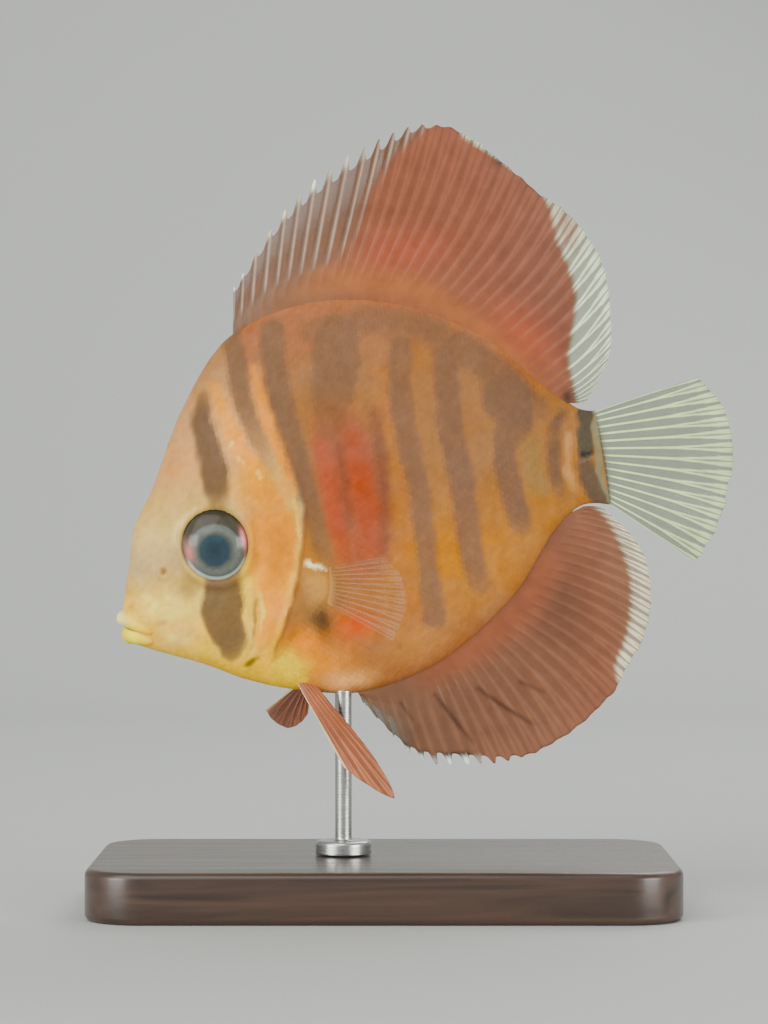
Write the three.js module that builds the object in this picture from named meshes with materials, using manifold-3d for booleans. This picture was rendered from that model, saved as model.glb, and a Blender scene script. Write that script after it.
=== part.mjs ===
// Discus fish as a life-size museum model, held over a flat base by one short rod.
// Millimetres, +Z up. The origin is at the centre of the base's underside.
// The fish faces -X, and its left side faces -Y. It is shaped in its own level frame,
// x towards the tail and z towards the back, and then pitched nose down.

import * as THREE from "three";
import { mergeVertices } from "three/addons/utils/BufferGeometryUtils.js";
import Module from "manifold-3d";

const wasm = await Module();
wasm.setup();

// Driving sizes
const GAP = 0.3; // clearance that touching pieces keep
const NOSE_DOWN = THREE.MathUtils.degToRad(11);
const FISH_HEIGHT = 72.9; // the fish frame's origin over the floor
const FISH_FORWARD = -2.5; // the fish frame's origin along X

// Flesh stations from snout to tail root: a point of the back, a point of the belly, the half width
// and how sharp the back is there
const STATIONS = [
  { back: [-48.0, -13.6], belly: [-48.0, -13.8], half: 0.0, ridge: 0.5 },
  { back: [-46.9, -9.0], belly: [-46.9, -17.0], half: 2.5, ridge: 0.5 },
  { back: [-44.7, -2.3], belly: [-43.6, -19.1], half: 4.0, ridge: 0.5 },
  { back: [-42.6, 3.6], belly: [-39.2, -21.3], half: 5.3, ridge: 0.5 },
  { back: [-38.0, 9.9], belly: [-34.0, -24.0], half: 6.5, ridge: 0.52 },
  { back: [-29.8, 23.2], belly: [-28.0, -27.6], half: 7.6, ridge: 0.58 },
  { back: [-19.2, 33.9], belly: [-19.6, -31.1], half: 8.3, ridge: 0.68 },
  { back: [-3.9, 37.5], belly: [-7.5, -33.8], half: 8.1, ridge: 0.76 },
  { back: [12.0, 34.1], belly: [7.0, -31.0], half: 7.0, ridge: 0.76 },
  { back: [25.4, 25.7], belly: [21.6, -22.4], half: 5.2, ridge: 0.72 },
  { back: [34.4, 14.9], belly: [31.4, -12.1], half: 3.7, ridge: 0.66 },
  { back: [39.6, 9.5], belly: [37.2, -8.4], half: 2.5, ridge: 0.6 },
  { back: [42.8, 8.2], belly: [42.2, -9.2], half: 1.8, ridge: 0.6 },
];
const BELLY_RIDGE = 0.54;

// Head landmarks in the fish's frame
const EYE = { x: -28.4, z: -2.6, radius: 6.1, tall: 6.5, deep: 2.9, y: 6.4 };
const ORBIT = { ring: 6.5, tube: 0.85, y: 7.65, turn: 0.12 };
const NOSTRIL = { x: -38.6, z: -5.6 };
const MOUTH = { front: [-51.6, -11.4], corner: [-42.4, -17.4], slit: 0.5 };
const UPPER_LIP = { front: [-48.2, -11.9], corner: [-42.5, -16.7], thick: 1.3 };
const LOWER_LIP = { front: [-47.8, -15.3], corner: [-42.5, -18.1], thick: 1.3 };
const CHIN = [-40.2, -22.6];
const GILL_EDGE = [
  [-19.4, 36.5],
  [-15.8, 21.4],
  [-12.5, 10.6],
  [-11.9, 0.4],
  [-14.2, -8.2],
  [-17.9, -16.6],
  [-22.0, -23.4],
  [-26.6, -30.5],
];
const GILL_STEP = 0.55; // how far the gill cover's rear edge stands over the flank
const GILL_REACH = 9; // length over which that step builds up
const STALK_CUT_X = 34.6; // where the tail stalk parts from the trunk

// Fins: spines and rays per fin, and thicknesses
const DORSAL_SPINES = 9;
const DORSAL_RAYS = 19;
const ANAL_SPINES = 7;
const ANAL_RAYS = 18;
const CAUDAL_RAYS = 14;
const PECTORAL_RAYS = 10;
const PELVIC_RAYS = 6;
const MEMBRANE = 0.56; // thickness of the skin between rays
const RAY_EDGE = 0.36; // half thickness of a ray at the fin's edge
const ROOT_DEPTH = 0.12; // share of a ray's length that starts inside the flesh

// Stand
const BASE = { length: 104, width: 62, height: 9, corner: 9, bevel: 1.2 };
const ROD = { x: -7.3, radius: 1.5, collar: 5, collarHeight: 2.4, chamfer: 0.6, top: 46 };

const colour = (hex, roughness = 0.45, metalness = 0) =>
  new THREE.MeshStandardMaterial({ color: hex, roughness, metalness });
const SKIN = colour(0xb97f52);
const FACE = colour(0xe0b060);
const IRIS = colour(0x55605f, 0.1);
const FIN_RED = colour(0xab5f45);
const FIN_CLEAR = colour(0xb9b894, 0.35);
const FIN_PINK = colour(0xc27a60);
const WOOD = colour(0x3a2a20, 0.5);
const STEEL = colour(0xb8b8b4, 0.3, 1);

const lerp = THREE.MathUtils.lerp;
const smooth = THREE.MathUtils.smoothstep;

// A uniform Catmull-Rom spline through 2-D or 3-D points, as a function of 0 to 1.
function spline(points) {
  const at = (i) => points[THREE.MathUtils.clamp(i, 0, points.length - 1)];
  return (t) => {
    const place = THREE.MathUtils.clamp(t, 0, 1) * (points.length - 1);
    const i = Math.min(Math.floor(place), points.length - 2);
    const f = place - i;
    return at(i).map((p1, k) => {
      const p2 = at(i + 1)[k];
      const v0 = (p2 - at(i - 1)[k]) / 2;
      const v1 = (at(i + 2)[k] - p1) / 2;
      return (
        (2 * p1 - 2 * p2 + v0 + v1) * f ** 3 +
        (-3 * p1 + 3 * p2 - 2 * v0 - v1) * f ** 2 +
        v0 * f +
        p1
      );
    });
  };
}

// A closed mesh from a list of triangles over a list of points.
function meshFrom(points, triangles) {
  return new THREE.BufferGeometry()
    .setAttribute(
      "position",
      new THREE.BufferAttribute(new Float32Array(points.flat()), 3),
    )
    .setIndex(triangles.flat());
}

// A three.js geometry as a solid, turned outside out if its faces point inwards.
function solidOf(geometry) {
  const plain = geometry.clone();
  plain.deleteAttribute("normal");
  plain.deleteAttribute("uv");
  const merged = mergeVertices(plain, 1e-4);
  const triVerts = new Uint32Array(merged.index.array);
  const build = () =>
    new wasm.Manifold(
      new wasm.Mesh({
        numProp: 3,
        vertProperties: merged.attributes.position.array,
        triVerts,
      }),
    );
  const made = build();
  if (made.volume() > 0) return made;
  for (let i = 0; i < triVerts.length; i += 3)
    [triVerts[i + 1], triVerts[i + 2]] = [triVerts[i + 2], triVerts[i + 1]];
  return build();
}

// The largest closed piece of a solid as a named mesh.
function meshOf(name, solid, material) {
  const [largest] = solid.decompose().sort((a, b) => b.volume() - a.volume());
  const cut = largest.getMesh();
  const count = cut.numProp;
  const points = [];
  for (let i = 0; i < cut.numVert; i++)
    points.push([...cut.vertProperties.slice(i * count, i * count + 3)]);
  const mesh = new THREE.Mesh(meshFrom(points, [[...cut.triVerts]]), material);
  mesh.name = name;
  return mesh;
}

// Flesh: a loft of upright sections between the back's outline and the belly's.
const backLine = spline(STATIONS.map((s) => s.back));
const bellyLine = spline(STATIONS.map((s) => s.belly));
const halfWidth = spline(STATIONS.map((s) => [s.half]));
const ridgeSharpness = spline(STATIONS.map((s) => [s.ridge]));

// A point of the flank: s runs from snout to tail root, turn goes round the section from the back.
function fleshPoint(s, turn) {
  const level = Math.cos(turn);
  const side = Math.sin(turn);
  const [bx, bz] = bellyLine(s);
  const [tx, tz] = backLine(s);
  const up = (1 + level) / 2;
  const power = 2 * lerp(BELLY_RIDGE, ridgeSharpness(s)[0], up);
  const y = halfWidth(s)[0] * Math.sign(side) * Math.abs(side) ** power;
  return [lerp(bx, tx, up), y, lerp(bz, tz, up)];
}

// Half width of the plain flesh at a place of the side view.
function flankHalf(x, z) {
  let [low, high] = [0, 1];
  for (let i = 0; i < 30; i++) {
    const s = (low + high) / 2;
    const [bx, bz] = bellyLine(s);
    const [tx, tz] = backLine(s);
    const behind = (x - bx) * (tz - bz) - (z - bz) * (tx - bx) > 0;
    if (behind) low = s;
    else high = s;
  }
  const [bx, bz] = bellyLine(low);
  const [tx, tz] = backLine(low);
  const up = THREE.MathUtils.clamp((z - bz) / (tz - bz), 0, 1);
  return fleshPoint(low, Math.acos(2 * up - 1))[1];
}

// Signed distance ahead of the gill cover's rear edge, along x.
const gillEdge = spline(GILL_EDGE);
const GILL_SAMPLES = Array.from({ length: 61 }, (_, i) => gillEdge(i / 60));
function aheadOfGill(x, z) {
  const below = GILL_SAMPLES.findIndex((p) => p[1] < z);
  const i = THREE.MathUtils.clamp(below, 1, GILL_SAMPLES.length - 1);
  const [a, b] = [GILL_SAMPLES[i - 1], GILL_SAMPLES[i]];
  const f = THREE.MathUtils.clamp((a[1] - z) / (a[1] - b[1]), 0, 1);
  return lerp(a[0], b[0], f) - x;
}

// Relief of the head over the plain flank: the gill cover swells towards its rear edge.
function headRelief(x, z) {
  const ahead = Math.max(aheadOfGill(x, z), 0);
  const level = smooth(z, -27, -18) * (1 - smooth(z, 8, 20));
  return GILL_STEP * (1 - smooth(ahead, 0.5, GILL_REACH)) * level;
}

// The whole flesh as a closed mesh, grown outwards by grow(x, z).
function fleshGeometry(rows, round, grow, spread = (t) => t) {
  const points = [];
  for (let i = 1; i <= rows; i++)
    for (let j = 0; j < round; j++)
      points.push(fleshPoint(spread(i / rows), (2 * Math.PI * j) / round));
  const snout = points.push(fleshPoint(0, 0)) - 1;
  const last = (rows - 1) * round;
  const tail = points.push([
    (points[last][0] + points[last + round / 2][0]) / 2,
    0,
    (points[last][2] + points[last + round / 2][2]) / 2,
  ]);
  const triangles = [];
  for (let j = 0; j < round; j++) {
    const k = (j + 1) % round;
    triangles.push([snout, k, j], [tail - 1, last + j, last + k]);
    for (let i = 0; i < rows - 1; i++) {
      const [a, b] = [i * round, (i + 1) * round];
      triangles.push([a + j, a + k, b + k], [a + j, b + k, b + j]);
    }
  }
  const geometry = meshFrom(points, triangles);
  geometry.computeVertexNormals();
  const place = geometry.attributes.position;
  const normal = geometry.attributes.normal;
  const outward = Math.sign(normal.getX(snout)) === -1 ? 1 : -1;
  for (let i = 0; i < place.count; i++) {
    const out = outward * grow(place.getX(i), place.getZ(i));
    place.setXYZ(
      i,
      place.getX(i) + out * normal.getX(i),
      place.getY(i) + out * normal.getY(i),
      place.getZ(i) + out * normal.getZ(i),
    );
  }
  return geometry;
}

// A slab with the outline given in the fish's side view, right through the fish.
function prism(outline, reach = 40) {
  const shape = new THREE.Shape(outline.map(([x, z]) => new THREE.Vector2(x, z)));
  return solidOf(
    new THREE.ExtrudeGeometry(shape, { depth: 2 * reach, bevelEnabled: false })
      .translate(0, 0, -reach)
      .rotateX(Math.PI / 2),
  );
}

// An ellipsoid, grown by a clearance.
function ellipsoid([x, y, z], [a, b, c], grow = 0, around = 22, down = 12) {
  return solidOf(
    new THREE.SphereGeometry(1, around, down)
      .rotateX(Math.PI / 2)
      .scale(a + grow, b + grow, c + grow)
      .translate(x, y, z),
  );
}

// A tube of changing radius along 3-D points, with closed ends.
function taperedTube(along, radius, steps, sides) {
  const points = [];
  for (let i = 0; i <= steps; i++) {
    const t = i / steps;
    const here = new THREE.Vector3(...along(t));
    const ahead = new THREE.Vector3(...along(Math.min(t + 0.01, 1)));
    const behind = new THREE.Vector3(...along(Math.max(t - 0.01, 0)));
    const line = ahead.sub(behind).normalize();
    const side = new THREE.Vector3(0, 0, 1).cross(line).normalize();
    const up = line.clone().cross(side);
    for (let j = 0; j < sides; j++) {
      const angle = (2 * Math.PI * j) / sides;
      const spoke = side
        .clone()
        .multiplyScalar(Math.cos(angle) * radius(t))
        .addScaledVector(up, Math.sin(angle) * radius(t));
      points.push(here.clone().add(spoke).toArray());
    }
  }
  const start = points.push(along(0)) - 1;
  const end = points.push(along(1)) - 1;
  const last = steps * sides;
  const triangles = [];
  for (let j = 0; j < sides; j++) {
    const k = (j + 1) % sides;
    triangles.push([start, k, j], [end, last + j, last + k]);
    for (let i = 0; i < steps; i++) {
      const [a, b] = [i * sides, (i + 1) * sides];
      triangles.push([a + j, a + k, b + k], [a + j, b + k, b + j]);
    }
  }
  return solidOf(meshFrom(points, triangles));
}

// A fin: rays run from root(s) to tip(s), raised as ridges in the membrane's own surface.
// root and tip give 3-D points, ridge(s, v) the half thickness on a ray, notch(s) how far the
// membrane stops short of the ray tips, and bow how far a ray curves along the fan.
function finSolid({ root, tip, from = 0, to = 1, rays, rows, ridge, notch, bow, sway }) {
  const columns = 2 * rays;
  const place = (s, v) => {
    const a = root(s);
    const b = tip(s);
    const bend = bow ? bow(s) * Math.sin(Math.PI * Math.max(v, 0)) : 0;
    const p = a.map((value, k) => lerp(value, b[k], v));
    const side = sway ? sway(s, v) : 0;
    return [p[0] - bend * (b[2] - a[2]), p[1] + side, p[2] + bend * (b[0] - a[0])];
  };
  const points = [];
  for (const face of [1, -1])
    for (let i = 0; i <= rows; i++)
      for (let j = 0; j <= columns; j++) {
        const s = lerp(from, to, j / columns);
        const onRay = j % 2 === 0;
        const outer = onRay ? 1 : 1 - notch(s);
        const v = lerp(-ROOT_DEPTH, outer, i / rows);
        const here = new THREE.Vector3(...place(s, v));
        const along = new THREE.Vector3(...place(s, v + 0.01)).sub(here);
        const s0 = Math.max(s - 0.01, 0);
        const s1 = Math.min(s + 0.01, 1);
        const across = new THREE.Vector3(...place(s1, v)).sub(new THREE.Vector3(...place(s0, v)));
        const normal = along.cross(across).normalize();
        const half = onRay ? ridge(s, v) : MEMBRANE / 2;
        points.push(here.addScaledVector(normal, face * half).toArray());
      }
  const width = columns + 1;
  const back = width * (rows + 1);
  const triangles = [];
  for (let i = 0; i < rows; i++)
    for (let j = 0; j < columns; j++) {
      const a = i * width + j;
      const [b, c, d] = [a + 1, a + width + 1, a + width];
      triangles.push([a, b, c], [a, c, d]);
      triangles.push([back + a, back + c, back + b], [back + a, back + d, back + c]);
    }
  const rim = [];
  for (let j = 0; j < columns; j++) rim.push([j, j + 1]);
  for (let i = 0; i < rows; i++) rim.push([i * width + columns, (i + 1) * width + columns]);
  for (let j = columns; j > 0; j--) rim.push([rows * width + j, rows * width + j - 1]);
  for (let i = rows; i > 0; i--) rim.push([i * width, (i - 1) * width]);
  for (const [p, q] of rim) triangles.push([q, p, back + p], [q, back + p, back + q]);
  return solidOf(meshFrom(points, triangles));
}

// Head

const eyeAt = (side, grow = 0) =>
  ellipsoid([EYE.x, side * EYE.y, EYE.z], [EYE.radius, EYE.deep, EYE.tall], grow);

// The ring of skin round the eye, set on the cheek.
function orbitRim(side) {
  const ring = new THREE.TorusGeometry(ORBIT.ring, ORBIT.tube, 7, 24);
  ring.rotateX(Math.PI / 2).scale(1, 1, EYE.tall / EYE.radius);
  return solidOf(ring.rotateZ(side * ORBIT.turn).translate(EYE.x, side * ORBIT.y, EYE.z));
}

// One lip: a thick tube bent round the front of the mouth, thin at its corners.
function lip({ front, corner, thick }) {
  const wide = flankHalf(...corner) + 0.1;
  const arc = (t) => {
    const turn = lerp(-Math.PI / 2, Math.PI / 2, t);
    const back = 1 - Math.cos(turn);
    const [x, z] = [lerp(front[0], corner[0], back), lerp(front[1], corner[1], back)];
    return [x, wide * Math.sin(turn), z];
  };
  return taperedTube(arc, (t) => lerp(0.6, thick, Math.sin(Math.PI * t) ** 0.7), 16, 10);
}

// The gap between the lips, a thin wedge from the front of the mouth to its corner.
function mouthSlit() {
  const [fx, fz] = MOUTH.front;
  const [cx, cz] = MOUTH.corner;
  const half = MOUTH.slit / 2;
  return prism([
    [fx, fz - half],
    [cx, cz - half * 0.6],
    [cx, cz + half * 0.6],
    [fx, fz + half],
  ]);
}

// A nostril: a short pit in the snout with a raised rim.
function nostril(side, cut) {
  const y = side * flankHalf(NOSTRIL.x, NOSTRIL.z);
  const { x, z } = NOSTRIL;
  if (cut) return ellipsoid([x, y + side * 0.3, z], [0.6, 1.2, 0.75], 0, 10, 8);
  return ellipsoid([x, y - side * 0.5, z], [1.3, 0.85, 1.4], 0, 12, 8);
}

// The side-view outline ahead of the gill edge, moved back by a clearance.
function headOutline(clearance) {
  const edge = Array.from({ length: 25 }, (_, i) => gillEdge(i / 24));
  const around = [[-40, -44], [-60, -30], [-60, 30], [-34, 46]];
  return [...edge.map(([x, z]) => [x + clearance, z]), ...around];
}

// The side-view outline of the lower jaw, grown by a clearance.
function jawOutline(clearance) {
  const [fx, fz] = MOUTH.front;
  const [cx, cz] = MOUTH.corner;
  return [
    [fx, fz],
    [cx + clearance, cz],
    [CHIN[0] + clearance, CHIN[1]],
    [CHIN[0] - 2, CHIN[1] - 5],
    [fx, fz - 14],
  ];
}

const denseHead = (t) => t ** 1.25;
const headFlesh = solidOf(fleshGeometry(40, 40, headRelief, denseHead));
const plainFlesh = solidOf(fleshGeometry(36, 36, () => 0));
const grownFlesh = solidOf(fleshGeometry(30, 32, () => GAP));

function wholeHead() {
  let head = headFlesh.intersect(prism(headOutline(0)));
  for (const side of [-1, 1]) head = head.add(orbitRim(side)).add(nostril(side, false));
  head = head.add(lip(UPPER_LIP)).add(lip(LOWER_LIP));
  for (const side of [-1, 1])
    head = head.subtract(nostril(side, true)).subtract(eyeAt(side, GAP));
  return head.subtract(mouthSlit());
}

const fullHead = wholeHead();
const headSolid = fullHead.subtract(prism(jawOutline(GAP)));
const jawSolid = fullHead.intersect(prism(jawOutline(0)));

// Trunk and tail stalk

const behindStalkCut = (x) => prism([[x, -20], [70, -20], [70, 30], [x, 30]]);
const trunkSolid = plainFlesh
  .subtract(prism(headOutline(GAP)))
  .subtract(behindStalkCut(STALK_CUT_X));
const stalkSolid = plainFlesh.intersect(behindStalkCut(STALK_CUT_X + GAP));

// Fins on the midline, as pairs of root and tip points in the side view

const DORSAL = {
  bow: (s) => -0.05 * smooth(s, 0.2, 0.6),
  root: spline([
    [-18.5, 34.3],
    [-10.0, 37.2],
    [-1.0, 37.5],
    [8.0, 35.8],
    [18.2, 31.2],
    [28.0, 23.2],
    [36.2, 12.9],
    [39.0, 10.2],
  ]),
  tip: spline([
    [-16.8, 42.2],
    [-4.2, 55.0],
    [9.8, 62.2],
    [25.6, 64.0],
    [38.5, 51.4],
    [48.4, 37.8],
    [48.2, 20.0],
    [41.6, 9.9],
  ]),
};
const ANAL = {
  bow: (s) => 0.05 * smooth(s, 0.2, 0.6),
  root: spline([
    [-8.7, -33.8],
    [-3.0, -33.7],
    [3.8, -32.1],
    [11.4, -29.0],
    [19.0, -24.6],
    [26.0, -18.4],
    [32.0, -11.7],
    [37.8, -8.5],
  ]),
  tip: spline([
    [-8.0, -35.8],
    [-1.0, -46.8],
    [7.2, -49.9],
    [20.6, -50.6],
    [35.4, -43.6],
    [45.0, -31.4],
    [46.6, -19.2],
    [41.0, -9.4],
  ]),
};
const CAUDAL = {
  root: spline([
    [42.3, 7.8],
    [42.5, -0.6],
    [42.1, -8.8],
  ]),
  tip: spline([
    [63.0, 10.6],
    [66.4, 4.0],
    [66.6, -3.2],
    [64.4, -10.8],
    [61.0, -17.0],
    [56.0, -22.4],
  ]),
};
const onMidline = (line) => (s) => {
  const [x, z] = line(s);
  return [x, 0, z];
};
const ripple = (count, size) => (s, v) =>
  size * Math.max(v, 0) ** 2 * Math.sin(2 * Math.PI * count * s);
const SPINY_SHARE = 0.3; // share of the fin's root that carries spines

function medianFin({ root, tip, bow }, from, to, rays, rows, thick, notch) {
  return finSolid({
    root: onMidline(root),
    tip: onMidline(tip),
    from,
    to,
    rays,
    rows,
    ridge: (s, v) => lerp(thick, RAY_EDGE, Math.max(v, 0)),
    notch,
    bow,
    sway: ripple(2.2, 1.3),
  }).subtract(grownFlesh);
}

const spinyNotch = (depth, from, to) => (s) => depth * (1 - smooth(s, from, to));
const HALF_GAP_SHARE = 0.0028; // half the clearance between spiny and soft parts, as a share of the root

const spinyFin = (fin, spines) =>
  medianFin(fin, 0, SPINY_SHARE - HALF_GAP_SHARE, spines, 6, 0.62, spinyNotch(0.24, 0.15, 0.32));
const softFin = (fin, rays) =>
  medianFin(fin, SPINY_SHARE + HALF_GAP_SHARE, 1, rays, 8, 0.55, () => 0.02);

const caudalSolid = finSolid({
  root: onMidline(CAUDAL.root),
  tip: onMidline(CAUDAL.tip),
  rays: CAUDAL_RAYS,
  rows: 9,
  ridge: (s, v) => lerp(0.75, RAY_EDGE, Math.max(v, 0)),
  notch: () => 0.03,
  sway: (s, v) => 5 * Math.max(v, 0) ** 2 + 0.5 * Math.max(v, 0) * Math.sin(2 * Math.PI * 2 * s),
}).subtract(grownFlesh);

// Paired fins

const PECTORAL = {
  root: [
    [-9.6, -7.2, -10.4],
    [-9.9, -7.2, -13.6],
    [-10.8, -7.0, -16.8],
  ],
  tip: [
    [0.8, -21.4, -10.2],
    [3.0, -22.6, -14.6],
    [2.6, -22.2, -20.0],
    [-0.6, -19.4, -25.0],
  ],
};
const PELVIC_LEFT = {
  root: [
    [-18.8, -1.9, -30.6],
    [-17.2, -2.4, -31.2],
    [-15.6, -1.9, -31.4],
  ],
  tip: [
    [-13.6, -5.8, -46.0],
    [-10.2, -7.2, -49.8],
    [-5.6, -8.4, -53.2],
    [-7.4, -7.0, -46.6],
    [-10.4, -5.4, -40.6],
  ],
};
const PELVIC_RIGHT = {
  root: [
    [-19.6, 1.9, -30.4],
    [-18.2, 2.4, -30.9],
    [-16.8, 1.9, -31.1],
  ],
  tip: [
    [-26.4, 15.6, -34.2],
    [-25.6, 20.4, -36.8],
    [-23.4, 22.6, -38.8],
    [-20.6, 17.4, -38.0],
    [-18.8, 12.4, -36.4],
  ],
};
const mirrored = (points) => points.map(([x, y, z]) => [x, -y, z]);

function pairedFin(root, tip, rays, rows, thick, notch) {
  return finSolid({
    root: spline(root),
    tip: spline(tip),
    rays,
    rows,
    ridge: (s, v) => lerp(thick, RAY_EDGE, Math.max(v, 0)),
    notch: () => notch,
  }).subtract(grownFlesh);
}

// Stand

function standBase() {
  const { length, width, height, corner, bevel } = BASE;
  const [x, y] = [length / 2 - bevel, width / 2 - bevel];
  const shape = new THREE.Shape()
    .moveTo(-x + corner, -y)
    .lineTo(x - corner, -y)
    .absarc(x - corner, -y + corner, corner, -Math.PI / 2, 0)
    .absarc(x - corner, y - corner, corner, 0, Math.PI / 2)
    .absarc(-x + corner, y - corner, corner, Math.PI / 2, Math.PI)
    .absarc(-x + corner, -y + corner, corner, Math.PI, 1.5 * Math.PI);
  return new THREE.ExtrudeGeometry(shape, {
    depth: height - 2 * bevel,
    bevelThickness: bevel,
    bevelSize: bevel,
    bevelSegments: 2,
    curveSegments: 5,
  }).translate(0, 0, bevel);
}

// The rod with its foot collar, cut to the belly it carries.
function standRod(fishMatrix) {
  const { radius, collar, collarHeight, chamfer, top, x } = ROD;
  const foot = BASE.height + GAP;
  const profile = [
    [0, foot],
    [collar, foot],
    [collar, foot + collarHeight - chamfer],
    [collar - chamfer, foot + collarHeight],
    [radius, foot + collarHeight],
    [radius, top],
    [0, top],
  ].map(([r, z]) => new THREE.Vector2(r, z));
  const rod = new THREE.LatheGeometry(profile, 20).rotateX(Math.PI / 2).translate(x, 0, 0);
  return solidOf(rod).subtract(grownFlesh.transform(fishMatrix.toArray()));
}

// Assembly

const fish = new THREE.Group();
fish.position.set(FISH_FORWARD, 0, FISH_HEIGHT);
fish.rotation.y = -NOSE_DOWN;
fish.updateMatrix();

fish.add(meshOf("head", headSolid, FACE));
fish.add(meshOf("lower_jaw", jawSolid, FACE));
fish.add(meshOf("trunk", trunkSolid, SKIN));
fish.add(meshOf("tail_stalk", stalkSolid, SKIN));
fish.add(meshOf("eye_left", eyeAt(-1), IRIS));
fish.add(meshOf("eye_right", eyeAt(1), IRIS));
fish.add(meshOf("dorsal_fin_spiny", spinyFin(DORSAL, DORSAL_SPINES), FIN_RED));
fish.add(meshOf("dorsal_fin_soft", softFin(DORSAL, DORSAL_RAYS), FIN_RED));
fish.add(meshOf("anal_fin_spiny", spinyFin(ANAL, ANAL_SPINES), FIN_RED));
fish.add(meshOf("anal_fin_soft", softFin(ANAL, ANAL_RAYS), FIN_RED));
fish.add(meshOf("caudal_fin", caudalSolid, FIN_CLEAR));
const pectoralFin = (flip) =>
  pairedFin(flip(PECTORAL.root), flip(PECTORAL.tip), PECTORAL_RAYS, 6, 0.7, 0.03);
const pelvicFin = ({ root, tip }) => pairedFin(root, tip, PELVIC_RAYS, 7, 0.8, 0.04);
fish.add(meshOf("pectoral_fin_left", pectoralFin((points) => points), FIN_CLEAR));
fish.add(meshOf("pectoral_fin_right", pectoralFin(mirrored), FIN_CLEAR));
fish.add(meshOf("pelvic_fin_left", pelvicFin(PELVIC_LEFT), FIN_PINK));
fish.add(meshOf("pelvic_fin_right", pelvicFin(PELVIC_RIGHT), FIN_PINK));

const base = new THREE.Mesh(standBase(), WOOD);
base.name = "stand_base";
const model = new THREE.Group();
model.add(fish, base, meshOf("stand_rod", standRod(fish.matrix), STEEL));

export default model;
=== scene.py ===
"""A life-size museum model of a discus fish on a display stand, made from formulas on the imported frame.

The fish is shaped in its own level frame in millimetres (x towards the tail, y to its right, z towards the
back), then pitched nose down and set over the base. World units are metres.
"""

import math

import bpy
import numpy as np
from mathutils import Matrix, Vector


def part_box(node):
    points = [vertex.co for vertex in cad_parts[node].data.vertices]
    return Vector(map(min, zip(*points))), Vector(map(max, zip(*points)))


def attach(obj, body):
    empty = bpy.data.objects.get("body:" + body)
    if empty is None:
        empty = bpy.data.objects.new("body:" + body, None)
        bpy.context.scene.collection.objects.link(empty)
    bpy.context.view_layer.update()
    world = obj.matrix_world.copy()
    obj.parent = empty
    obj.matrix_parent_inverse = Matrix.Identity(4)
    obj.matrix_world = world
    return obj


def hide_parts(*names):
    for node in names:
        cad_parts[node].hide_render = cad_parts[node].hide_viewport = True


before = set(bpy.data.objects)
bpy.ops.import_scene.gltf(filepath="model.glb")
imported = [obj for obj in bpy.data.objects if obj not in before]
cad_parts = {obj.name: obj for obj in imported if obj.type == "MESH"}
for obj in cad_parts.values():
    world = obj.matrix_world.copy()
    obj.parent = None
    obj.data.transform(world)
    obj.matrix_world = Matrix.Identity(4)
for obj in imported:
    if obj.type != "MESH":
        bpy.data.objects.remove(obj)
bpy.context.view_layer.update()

# The fish's frame in the world
NOSE_DOWN = math.radians(11)
FISH_ORIGIN = np.array([-2.5, 0.0, 72.9])

# Flesh stations from snout to tail root: back x, z, belly x, z, half width, how sharp the back is
STATIONS = np.array(
    [
        [-48.0, -13.6, -48.0, -13.8, 0.0, 0.50],
        [-46.9, -9.0, -46.9, -17.0, 2.5, 0.50],
        [-44.7, -2.3, -43.6, -19.1, 4.0, 0.50],
        [-42.6, 3.6, -39.2, -21.3, 5.3, 0.50],
        [-38.0, 9.9, -34.0, -24.0, 6.5, 0.52],
        [-29.8, 23.2, -28.0, -27.6, 7.6, 0.58],
        [-19.2, 33.9, -19.6, -31.1, 8.3, 0.68],
        [-3.9, 37.5, -7.5, -33.8, 8.1, 0.76],
        [12.0, 34.1, 7.0, -31.0, 7.0, 0.76],
        [25.4, 25.7, 21.6, -22.4, 5.2, 0.72],
        [34.4, 14.9, 31.4, -12.1, 3.7, 0.66],
        [39.6, 9.5, 37.2, -8.4, 2.5, 0.60],
        [42.8, 8.2, 42.2, -9.2, 1.8, 0.60],
    ]
)
BELLY_RIDGE = 0.54
SKIN_DEPTH = 0.16  # how far the skin lies inside the solids, so that the scales stay within them

# Landmarks of the head
EYE = {"x": -28.4, "z": -2.6, "radius": 6.05, "tall": 6.45, "deep": 2.85, "y": 6.4}
PUPIL = {"x": -0.3, "z": -1.0, "radius": 2.85}
NOSTRIL = (-38.6, -5.6)
GILL_EDGE = [
    (-19.4, 36.5), (-15.8, 21.4), (-12.5, 10.6), (-11.9, 0.4), (-14.2, -8.2), (-17.9, -16.6), (-22, -23.4),
    (-26.6, -30.5),
]
CHEEK_EDGE = [(-20.4, 6), (-22, -2), (-23.3, -9), (-24.4, -15.5), (-26.2, -21.5), (-30, -25.5)]
ORBIT_FOLD = [(-29.6, 5, 0.4, 0.2), (-32.2, 4.2, 0.5, 1), (-34.6, 2.2, 0.55, 1), (-36, -1, 0.5, 0.3)]
LIP_FOLD = [(-47.6, -9.6, 0.4, 0.2), (-45.4, -10.6, 0.9, 1), (-42.9, -13.2, 1, 1), (-41.2, -16.6, 0.6, 0.4)]
PECTORAL_LOBE = [(-13, -11, 1.6, 0.5), (-11.8, -13.6, 2.2, 1), (-12.4, -16.6, 1.6, 0.5)]
SCALE_SPACING = 1.22


def smooth(value, low, high):
    """Goes from 0 at low to 1 at high with level ends."""
    t = np.clip((value - low) / (high - low), 0, 1)
    return t * t * (3 - 2 * t)


def lerp(a, b, t):
    """Goes from a at 0 to b at 1 in a straight line."""
    return a + (b - a) * t


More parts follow.
